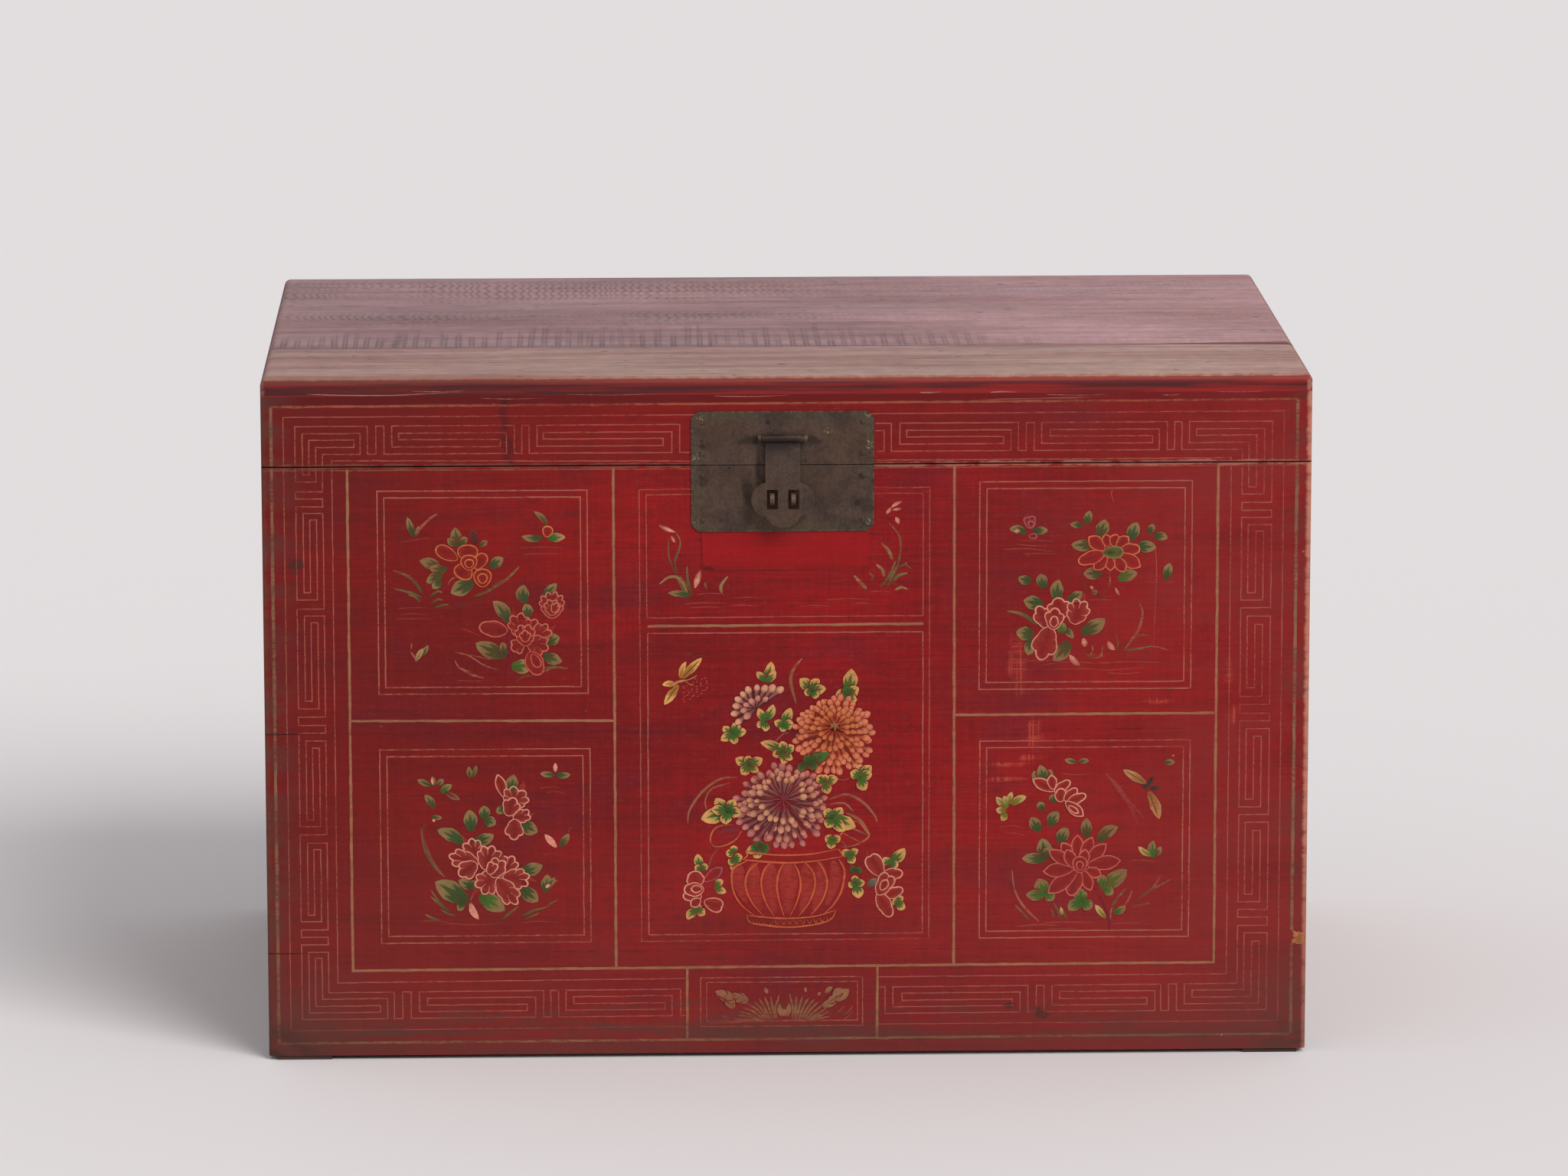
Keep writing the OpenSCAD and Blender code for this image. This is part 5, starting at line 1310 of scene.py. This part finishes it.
spray.strokes(deep, olive, 0.9, [
    (2.0, (-78, 391.5), (-85, 401), (-88.5, 406.5)),
    (1.7, (-89, 404.5), (-92.5, 417), (-89, 427.5), (-88, 435.5), (-91.5, 442.5)),
    (2.3, (-79.5, 393), (-82, 404), (-82.5, 414.5)), (1.8, (-83, 390.5), (-87.5, 398), (-92.5, 408)),
    (1.2, (-91.5, 406), (-95.5, 417), (-97.5, 424.5), (-97.5, 438)),
    (2.6, (76, 395.5), (84, 406), (88.5, 417.5)),
    (1.9, (80.5, 396), (88.5, 409), (92.5, 424.5), (91.5, 438.5), (83, 449.5)),
    (2.1, (82.5, 395.5), (85.5, 404.5), (89.5, 412.5)), (3.0, (85.5, 398), (90.5, 405), (98.5, 407.5)),
    (1.5, (90.5, 412), (96, 414.5), (101.5, 411)), (2.0, (-66.5, 395), (-68, 400.5)),
    (2.0, (68.5, 401), (70, 405), (67, 407.5)),
])
spray.strokes(olive, tan, 0.9, [
    (2.6, (-82, 392), (-89, 404), (-97.5, 405), (-105, 399.5)),
    (2.8, (-54, 391.5), (-54.5, 398), (-49, 405.5)), (3.2, (86, 418.5), (83, 426), (77, 432.5)),
    (3.0, (79.5, 404.5), (77.5, 410.5), (72.5, 415)), (3.3, (65, 394.5), (60, 399.5), (54.5, 405.5)),
    (2.5, (88, 393), (93, 395.5), (98.5, 394)),
])
spray.leaves(deep, olive, [((-78.5, 390), (-98, 392), 5.5)])
spray.leaves(pink, dusk, [
    ((-76, 396), (-71.5, 410.5), 5.0), ((-92, 442.5), (-105.5, 448.5), 3.4),
    ((-92.5, 434), (-95.5, 439.5), 2.6), ((81, 457), (85, 462.5), 3.2), ((85, 462), (94, 467), 3.2),
    ((86, 460), (93.5, 461), 2.4), ((88.5, 454), (91, 448), 3.8),
])
spray.piece()


# ---- Bowl of chrysanthemums in the middle panel
# A ribbed gold bowl holds one orange and one mauve chrysanthemum and a half-open one, their petals
# laid in rings from the outside in, with vivid leaves that end in cream. It is the same size paint,
# in a brighter palette than the corner panels have.
cream = ink(194, 144, 84)
mauve_deep = ink(94, 46, 50)
mauve_tip = ink(182, 110, 97)
mauve_heart = ink(200, 148, 102)
orange_deep = ink(140, 52, 28)
orange_tip = ink(202, 116, 86)
orange_heart = ink(180, 98, 46)
bowl_gold = ink(186, 86, 52)


class BloomBrush(FlowerBrush):
    """A brush that also paints chrysanthemums."""

    def fan(self, base, width, deep, pale, tips):
        """Florets from one base: each a thin dark neck that ends in a round pale head."""
        gap, margin = fade(deep, black, 0.5), 1.3
        for tip in tips:
            root, along = Vector(base), Vector(tip) - Vector(base)
            wide = width * self.hand.uniform(0.82, 1.14)
            head = min(0.85, 1.28 * wide / along.length)
            shape = [(0.0, 0.14, 0.0), (1 - head * 0.92, 0.5, 0.25)]
            for s, share in ((0.25, 0.55), (0.48, 0.95), (0.7, 1.0), (0.88, 1.0), (0.97, 0.9)):
                shape.append((1 - head * (1 - s), math.sqrt(1 - (2 * s - 1) ** 2), share))
            shape.append((1.0, 0.02, 0.8))
            path = [tuple(root + along * s) for s, _, _ in shape]
            widths = [wide * w + margin for _, w, _ in shape[::2]] + [margin]
            self.touch(path[::2] + path[-1:], widths, gap, gap, 0.75)
            edge = [fade(deep, pale, share * 0.55) for _, _, share in shape]
            crown = [fade(deep, pale, share) for _, _, share in shape]
            self.touch(path, [wide * w for _, w, _ in shape], edge, crown, 1.0)

    def rings(self, count, width, deep, pale, heart, rings):
        """A chrysanthemum: rings of florets, each ring a middle and its reach across and up."""
        for n, ((x, z), across, up) in enumerate(rings):
            number = round(count * (1 - n * 0.14))
            tone = fade(pale, heart, n / len(rings))
            for k in range(number):
                angle = 2 * math.pi * (k + n / 2 + self.hand.uniform(-0.26, 0.26)) / number
                out = self.hand.uniform(0.9, 1.07)
                tip = (x + across * out * math.cos(angle), z + up * out * math.sin(angle))
                base = (x + (tip[0] - x) * 0.3, z + (tip[1] - z) * 0.3)
                self.fan(base, width * (1 - n * 0.04), deep, tone, [tip])


spray = BloomBrush("bowl_of_chrysanthemums", "box", 16)
spray.strokes(dusk_brown, tan_stem, 0.85, [
    (3.0, (7, 298.5), (2.5, 317), (5, 328), (12, 336.5)),
    (2.3, (-41.5, 237), (-56, 235.5), (-70.5, 225), (-81, 209.5), (-82.5, 198.5)),
    (1.5, (-47, 232.5), (-62.5, 227.5), (-68, 218), (-67, 209.5)),
    (2.4, (34, 217.5), (48, 222), (61, 216), (71, 205), (74, 198)),
    (2.0, (34.5, 213.5), (46.5, 214.5), (54, 207.5)), (2.8, (47.5, 206.5), (59.5, 200), (68, 188)),
])
spray.strokes(mauve, dusk_brown, 0.6, [
    (1.2, (-66, 159), (-62.5, 170.5), (-56.5, 177.5)), (1.2, (44, 183), (48, 177), (54.5, 154.5)),
    (1.6, (-12, 265), (-4, 273), (1, 274.5)), (1.4, (40, 235.5), (46.5, 234), (53, 237)),
])
spray.strokes(ink(96, 52, 56), ink(112, 40, 44), 0.6, [
    (4.5, (-40, 192), (-49, 193), (-58, 188.5)), (2.6, (-42, 188.5), (-50, 186.5), (-58, 182)),
    (2.2, (47, 195.5), (56, 191), (65, 187.5)),
])
spray.strokes(amber, dusk_brown, 0.9, [
    (1.5, (-63.9, 182), (-63.5, 188), (-60.5, 193.5), (-54, 196.5), (-45, 197)),
    (1.2, (-38, 192), (-43, 184.5), (-52, 179.5), (-60.5, 178.8), (-63.9, 183)),
    (1.3, (40.5, 183), (46.4, 191.5), (54.5, 199), (60, 197)),
    (1.7, (59.5, 198), (64, 192), (67, 186.9), (62, 182), (53, 178.4), (44, 177.5)),
    (1.2, (46, 189), (52.5, 185.5), (60, 181.5)), (1.0, (52, 194), (58.5, 191), (66, 187.5)),
])
spray.leaves(vivid, cream, [
    ((-18.5, 317), (-13.5, 334), 8.5), ((-19, 318), (-25.5, 325.5), 6.0), ((-17.5, 317), (-10.5, 327), 6.5),
    ((-45, 274), (-53, 280), 7.5), ((-45, 273), (-55, 268), 7.5), ((-45, 273), (-44.5, 265), 7.5),
    ((-44.5, 273.5), (-34, 276), 7.5), ((-44.5, 274.5), (-40, 284), 7.5), ((-18.5, 284.5), (-24, 295), 6.5),
    ((-18.5, 285), (-12, 298), 7.5), ((-19, 283.5), (-25, 279), 6.5), ((-18, 283), (-18.5, 275.5), 6.5),
    ((-4, 281), (2.5, 295), 8.5), ((-4, 280.5), (-11, 284), 6.5), ((-3.5, 280.5), (-5.5, 275.5), 6.5),
    ((-3.5, 280.5), (5, 281), 8.5), ((19.5, 309.5), (10, 319.5), 9.5), ((20, 310), (26, 319), 8.5),
    ((20.5, 309), (31.5, 311), 8.5), ((20, 308), (26, 305.5), 7.5), ((19, 308.5), (13.5, 308.5), 6.5),
    ((49.5, 307), (52.5, 327.5), 12.0), ((49, 305.5), (39.5, 305.5), 9.5),
    ((49.5, 304.5), (58.5, 311.5), 9.5), ((49.5, 304.5), (57, 301.5), 8.5), ((48.5, 304), (43, 302.5), 7.5),
])
spray.fan((-27, 294.5), 5.8, mauve_deep, ink(210, 146, 112), [
    (-3.5, 312.5), (-10.5, 314.5), (-17.5, 314.5), (-25, 315), (-33.5, 313.5), (-38.5, 309), (-43.5, 304),
    (-45.5, 297.5), (-47, 290), (-43, 282),
])
spray.fan((-27, 294.5), 5.2, mauve_deep, ink(196, 126, 106), [
    (-16.5, 304.5), (-24, 306), (-31, 303.5), (-36.5, 299), (-39, 293), (-36, 286.5),
])
spray.rings(32, 5.3, orange_deep, orange_tip, orange_heart, [
    ((37.5, 272.5), 34, 33), ((37.5, 273.5), 29.5, 28.5), ((37.5, 275), 24.5, 24), ((38, 277), 19.5, 19),
    ((38.5, 279), 14, 13.5),
])
spray.leaves(olive, orange_deep, [
    ((38.5, 280.5), tip, 2.2)
    for tip in ((38.5, 285.5), (43, 282.5), (42.5, 277), (38.5, 274.5), (34, 277), (34, 282.5))
])
spray.rings(32, 5.5, mauve_deep, mauve_tip, mauve_heart, [
    ((-4, 212.5), 39.5, 36), ((-4, 213.5), 34, 31), ((-4, 215.5), 28.5, 26), ((-4, 217.5), 22.5, 20.5),
])
spray.strokes(mauve_deep, ink(146, 88, 92), 0.85, [
    (1.1, (-4, 218.5), bend, end)
    for bend, end in (
        ((-10.5, 224), (-18.5, 228.5)), ((-7, 226), (-12, 231.5)), ((-3, 226.5), (-4, 233)),
        ((1, 225), (4, 231)), ((3.5, 222), (9, 225)), ((4, 218), (10.5, 216)), ((2, 213.5), (6.5, 209)),
        ((-3, 211), (-2, 205.5)), ((-9.5, 213), (-13.5, 208)), ((-11, 218), (-17.5, 216)),
    )
])
spray.leaves(vivid, cream, [
    ((-3, 258.5), (-22.5, 266), 8.5), ((-4, 257.5), (-12.5, 255), 7.5), ((-3, 257), (-4, 248), 7.5),
    ((-2, 258.5), (5, 263.5), 7.5), ((-3.5, 259), (-5.5, 267), 7.5), ((-2, 257), (4, 252), 6.5),
    ((-32, 248), (-43, 253), 8.5), ((-32.5, 247), (-38.5, 239.5), 8.5), ((-32, 248.5), (-31.5, 255), 7.5),
    ((-31.5, 248), (-21, 253), 8.5), ((-31.5, 246.5), (-24, 242), 6.5), ((59.5, 238), (59.5, 247.5), 8.5),
    ((60, 238), (69, 246), 8.5), ((60, 237), (69.5, 239), 8.5), ((60, 235.5), (64.5, 225.5), 9.5),
    ((59, 237), (51.5, 240.5), 8.5), ((30, 232.5), (24.5, 238), 8.5), ((31, 232.5), (41.5, 235), 8.5),
    ((30.5, 231.5), (33, 222.5), 8.5), ((30, 233), (31, 239), 6.5), ((-50, 209), (-71.5, 202), 13.0),
    ((-50, 209.5), (-59.5, 219.5), 9.5), ((-49.5, 209.5), (-44, 218.5), 8.5),
    ((-49.5, 208), (-39, 205.5), 9.5), ((-50, 207), (-51, 197.5), 9.5), ((-51.5, 209), (-63, 210), 8.5),
    ((36, 203), (29.5, 208.5), 8.5), ((36.5, 203), (44.5, 211), 9.5), ((37.5, 202.5), (56, 194.5), 12.0),
    ((37, 201.5), (47, 191), 9.5), ((36, 201.5), (32, 194), 8.5), ((36.5, 183.5), (31, 186.5), 7.5),
    ((37, 183.5), (43, 186.5), 7.5), ((36.5, 183), (35.5, 176), 7.5), ((-23, 177), (-28, 169), 8.5),
    ((-24, 176.5), (-34, 173.5), 7.5), ((-44.5, 173.5), (-51, 174), 7.5),
    ((-44.5, 174), (-44.5, 179.5), 6.5), ((-44.5, 168), (-37.5, 170), 7.5),
    ((-44.5, 167.5), (-41.5, 156.5), 8.5), ((-45, 167.5), (-49.5, 164.5), 6.5),
    ((50.5, 170.5), (45.5, 175), 7.0), ((51, 171), (58, 175.5), 6.5), ((50.5, 170), (54.5, 163.5), 7.5),
    ((55.5, 147), (50.5, 143.5), 6.5), ((56, 146), (58.5, 134), 9.5), ((56.5, 147), (63.5, 148), 6.5),
    ((56, 148), (56, 153.5), 6.5), ((-72, 160.5), (-74.5, 172.5), 7.5), ((-71, 160), (-66, 162.5), 6.5),
    ((-72, 159.5), (-77, 162), 6.0), ((-75.5, 126), (-83, 117), 7.5), ((-75, 126), (-68.5, 121), 7.5),
    ((-75, 127), (-73.5, 130.5), 6.0), ((-60.5, 144.5), (-51, 140), 6.5), ((-60, 145.5), (-53.5, 150), 6.5),
    ((84.5, 164), (96.5, 176), 9.5), ((84, 163), (79, 168.5), 7.5), ((85.5, 163), (91, 160.5), 7.5),
    ((90, 130.5), (95.5, 135), 6.5), ((90.5, 130), (97, 125), 7.5), ((90, 130), (86.5, 131.5), 6.5),
])
spray.leaves(deep_vivid, vivid, [
    ((10.5, 247), (34.5, 257), 9.5), ((14, 247.5), (9.5, 242), 7.5), ((17.5, 249.5), (14, 255), 7.0),
    ((21, 250), (23, 257.5), 6.0), ((19, 248.5), (23.5, 243.5), 7.0), ((-22.5, 178), (-15, 177), 9.0),
    ((-23.5, 178), (-30.5, 178.5), 8.5), ((-23, 179), (-23.5, 183.5), 8.0), ((56, 156.5), (52.5, 161), 6.0),
    ((56.5, 156.5), (61, 159), 6.0), ((-4, 257.5), (-8, 261.5), 7.0), ((-32, 247.5), (-28, 250), 6.5),
    ((-50, 208), (-46, 213), 8.0), ((36.5, 202), (34.5, 206.5), 8.0), ((49.5, 305.5), (49.5, 313.5), 8.5),
    ((20, 309), (22, 313.5), 6.5),
])
spray.leaves(ink(66, 84, 70), ink(96, 100, 84), [((66, 144.5), (73, 151), 5.5)])
spray.strokes(ink(172, 70, 54), ink(160, 58, 46), 0.46, [
    (11.0, (-40, 164), (-41, 149.5), (-34, 130)), (12.0, (-28, 164.5), (-28.5, 146), (-22.5, 123.5)),
    (12.0, (-14, 164), (-15, 144.5), (-10.5, 122)), (15.0, (1, 164), (0.5, 144.5), (-0.5, 122)),
    (11.0, (15, 164), (16, 144.5), (11.5, 122.5)), (10.0, (26, 165), (27, 146), (21.5, 123.5)),
    (10.0, (37.5, 166), (39, 149.5), (32, 128.5)),
])
spray.strokes(bowl_gold, bowl_gold, 0.95, [
    (1.7, (-35, 175), (-18.5, 172), (0, 171), (20.5, 172), (41.5, 176)),
    (1.9, (-37.5, 167.5), (-18.5, 165.5), (1, 164.5), (23.5, 166), (45, 169.5)),
    (1.6, (-35, 175), (-33.5, 171), (-37.5, 167.5)), (1.6, (41.5, 176), (44, 173), (45, 169.5)),
    (1.9, (-33.5, 166.5), (-44.5, 160.5), (-46.5, 151), (-44.5, 139.5), (-38, 128.5), (-27, 119.5)),
    (1.9, (42, 167.5), (46.5, 159), (46.5, 151), (44, 139.5), (37.5, 128.5), (30, 121)),
    (1.8, (-24.5, 165), (-32.5, 157.5), (-35, 146), (-30, 131.5), (-20, 119.5)),
    (1.8, (-15, 164.5), (-20, 157.5), (-22, 146), (-18.5, 131.5), (-11.5, 119.5)),
    (1.8, (-3.5, 164), (-7.5, 156), (-9, 144.5), (-7, 131.5), (-3, 119)),
    (1.8, (5, 164), (9, 156), (10.5, 144.5), (7.5, 131.5), (1.5, 119)),
    (1.8, (14, 165), (20.5, 157), (22.5, 146), (18, 131.5), (9, 119.5)),
    (1.8, (24.5, 166), (30, 157.5), (32.5, 146), (28, 131.5), (19, 120)),
    (1.7, (-34.5, 120.5), (-18.5, 118.5), (0, 117.5), (22, 119), (39, 124)),
    (1.9, (-34, 120), (-31.5, 114.5), (-20, 112), (0, 110), (22, 112), (35.5, 116.5), (39.5, 124)),
])
scallops = 13
for n in range(scallops):
    x = -30 + 5.3 * n
    z = 115.6 - 2.4 * math.sin(math.pi * (n + 1) / (scallops + 1)) + 0.1 * n
    spray.strokes(bowl_gold, bowl_gold, 0.8, [(1.0, (x - 2, z + 2), (x, z - 1.4), (x + 2, z + 2))])
spray.petals(mauve, blush, [((-69, 149.5), (-54.5, 160.5), 8.0, 1)])
spray.petals(pink, blush, [
    ((-69, 132.5), (-54, 127), 10.0, 2), ((-75, 144.5), (-77.5, 156.5), 13.5, 3),
    ((-71.5, 136.5), (-85, 137), 8.5, 3), ((-72.5, 134.5), (-80, 128.5), 7.5, 1),
    ((-69.5, 142.5), (-84, 142.5), 11.0, 3), ((-71, 143), (-80, 143), 6.0, 1),
    ((78, 152.5), (67.5, 170.5), 12.0, 2), ((77.5, 153), (93, 155), 9.5, 3),
    ((80.5, 135.5), (93.5, 141), 8.5, 3), ((74.5, 139), (84, 120.5), 11.0, 3),
    ((74.5, 137), (84, 153.5), 12.5, 4), ((77, 141), (82, 149.5), 6.5, 1),
])
spray.piece()


# ---- Dragonfly beside the bowl
# Two long gold wings and two short ones on a brown body, with a drift of pink dots below it. All
# of it is size paint, a few touches of the brush each.
spray = FlowerBrush("dragonfly", "box", 17)
spray.leaves(ink(150, 104, 44), ink(204, 156, 84), [
    ((-87, 320.5), (-70.5, 337.5), 6.8), ((-88.5, 320.5), (-83.5, 334.5), 4.6),
    ((-90, 315), (-101.5, 298.5), 7.0), ((-92, 315.5), (-103, 315), 5.0),
])
spray.strokes(ink(176, 112, 74), ink(190, 124, 84), 0.95, [
    (2.4, (-97, 313.5), (-90, 317.5), (-83, 319)), (1.0, (-84, 318.5), (-78.5, 320.5), (-74.5, 323)),
    (0.8, (-84, 318), (-80.5, 315.5), (-77, 315)),
])
spray.strokes(ink(84, 44, 30), ink(120, 70, 40), 0.9, [
    (0.8, (-86, 322), (-78, 330), (-72.5, 335.5)), (0.8, (-91, 313), (-96, 307), (-100, 300.5)),
    (0.8, (-79.5, 336.5), (-74, 339.5), (-69, 339)), (0.7, (-83.5, 336), (-81, 341), (-77.5, 342.5)),
])
dots, in_a_row = 34, 6
for n in range(dots):
    row, place = divmod(n, in_a_row)
    x = -86 + place * 3.6 + spray.hand.uniform(-1.4, 1.4)
    z = 300 + row * 2.7 + place * 1.9 + spray.hand.uniform(-1.2, 1.2)
    spray.strokes(scratch_pink, scratch_pink, 0.85, [(0.9, (x, z), (x + 1.4, z + 0.9))])
spray.piece()


# ---- Cartouche at the foot
# A gold fan of tapering rays, opening round a bud in the middle, between two scroll-like clouds.
# Gold paint, one stroke to a ray, in the small frame below the middle panel.
shell_gold = ink(136, 94, 64)
spray = FlowerBrush("shell_cartouche", "box", 18)
spray.strokes(shell_gold, shell_gold, 0.8, [
    (2.0, (-25.5, 30.5), (-36, 31.5), (-45, 32.5)), (2.0, (-23.5, 31), (-33.5, 34), (-43, 35.5)),
    (2.1, (-21.5, 31), (-32, 36), (-40.5, 38.5)), (2.2, (-20, 31), (-29, 38.5), (-37.5, 41.5)),
    (2.3, (-18, 31), (-25.5, 40), (-33.5, 45)), (2.3, (-16, 31), (-22.5, 41), (-29, 47.5)),
    (2.4, (-14.5, 31), (-19.5, 41.5), (-24, 49.5)), (2.4, (-13, 31), (-16, 42), (-19.5, 51)),
    (2.4, (-11, 31), (-13, 43), (-14.5, 51.5)), (2.0, (-9.5, 31), (-10.5, 41), (-8.5, 48), (-7.5, 52.5)),
    (2.0, (3.5, 31), (4, 41), (2.5, 48), (1.5, 53.5)), (2.4, (5.5, 31), (6.5, 43), (7, 51)),
    (2.4, (7, 31), (9.5, 42.5), (12, 51)), (2.4, (9, 31), (12.5, 41.5), (17, 49.5)),
    (2.3, (11, 31), (16, 41), (22, 48.5)), (2.3, (13, 31), (19, 40), (25.5, 46.5)),
    (2.2, (14.5, 31), (22, 38), (29, 44)), (2.1, (16.5, 31), (25, 36), (32, 41)),
    (2.0, (18, 31), (27, 34.5), (34, 38)), (1.8, (19.5, 30.5), (28.5, 32.5), (35, 34)),
])
spray.leaves(shell_gold, shell_gold, [
    ((-5.5, 34), (-7, 45), 4.2), ((-0.5, 34), (1, 45), 4.2), ((-3.5, 34), (-3.5, 40.5), 4.6),
    ((-33.5, 46.5), (-43, 54.5), 9.0), ((-35, 48.5), (-48.5, 54), 7.5), ((-43, 48), (-60, 56), 9.5),
    ((-45.5, 41.5), (-49.5, 51.5), 8.0), ((-51.5, 50.5), (-56.5, 56), 7.0), ((29, 42), (41, 52), 7.5),
    ((36.5, 48), (50.5, 57), 9.5), ((38, 49.5), (45, 57.5), 7.5), ((33, 45.5), (39, 51.5), 6.0),
    ((31, 53.5), (37, 59), 4.0), ((-19.5, 58.5), (-17, 53.5), 3.2), ((14.5, 59), (15, 54.5), 2.4),
    ((25, 51.5), (27, 54.5), 2.2),
])
spray.strokes(ink(96, 40, 30), ink(96, 40, 30), 0.6, [
    (0.7, (-57, 52), (-49, 48), (-40.5, 50)), (0.7, (-55, 50.5), (-46.5, 44.5), (-44.5, 47)),
    (0.7, (34.5, 46.5), (40.5, 50.5), (46, 54)),
])
spray.strokes(shell_gold, faint, 0.6, [
    (1.3, (-55.5, 36), (-51.5, 32.5), (-49.5, 29)), (1.2, (-52.5, 36), (-50.5, 34), (-48.5, 31.5)),
    (1.0, (-66.5, 28.5), (-46.5, 29), (-20.5, 29.5)), (1.2, (41, 37), (44.5, 40), (47, 42.5)),
    (1.3, (46, 35), (50, 37.5), (54, 43)), (1.2, (46.5, 31), (51, 34.5), (53.5, 37.5)),
])
spray.piece()


# ---- Floor and light
# A plain pale floor that reaches out of sight, one broad soft lamp from the right in front and
# even light all round. The floor is matt, as painted studio boards are.
reach = 30
floor_mesh = bpy.data.meshes.new("floor")
floor_corners = [(-reach, -reach, 0), (reach, -reach, 0), (reach, reach, 0), (-reach, reach, 0)]
floor_mesh.from_pydata(floor_corners, [], [(0, 1, 2, 3)])
floor = bpy.data.objects.new("floor", floor_mesh)
bpy.context.scene.collection.objects.link(floor)
floor_finish = bpy.data.materials.new("floor")
floor_finish.use_nodes = True
floor_shader = floor_finish.node_tree.nodes["Principled BSDF"]
floor_shader.inputs["Base Color"].default_value = ink(222, 217, 216)
floor_shader.inputs["Roughness"].default_value = 0.9
floor_shader.inputs["Specular IOR Level"].default_value = 0.1
floor_mesh.materials.append(floor_finish)

key = bpy.data.lights.new("key", "SUN")
key.energy = 2.3
key.angle = math.radians(34)
key_lamp = bpy.data.objects.new("key", key)
key_lamp.rotation_euler = Euler((math.radians(52), 0, math.radians(38)))
bpy.context.scene.collection.objects.link(key_lamp)

world = bpy.data.worlds.new("studio")
bpy.context.scene.world = world
world.use_nodes = True
sky = world.node_tree.nodes["Background"]
sky.inputs["Color"].default_value = (0.96, 0.97, 1.0, 1.0)
sky.inputs["Strength"].default_value = 0.62

bpy.context.scene.view_settings.view_transform = "Standard"
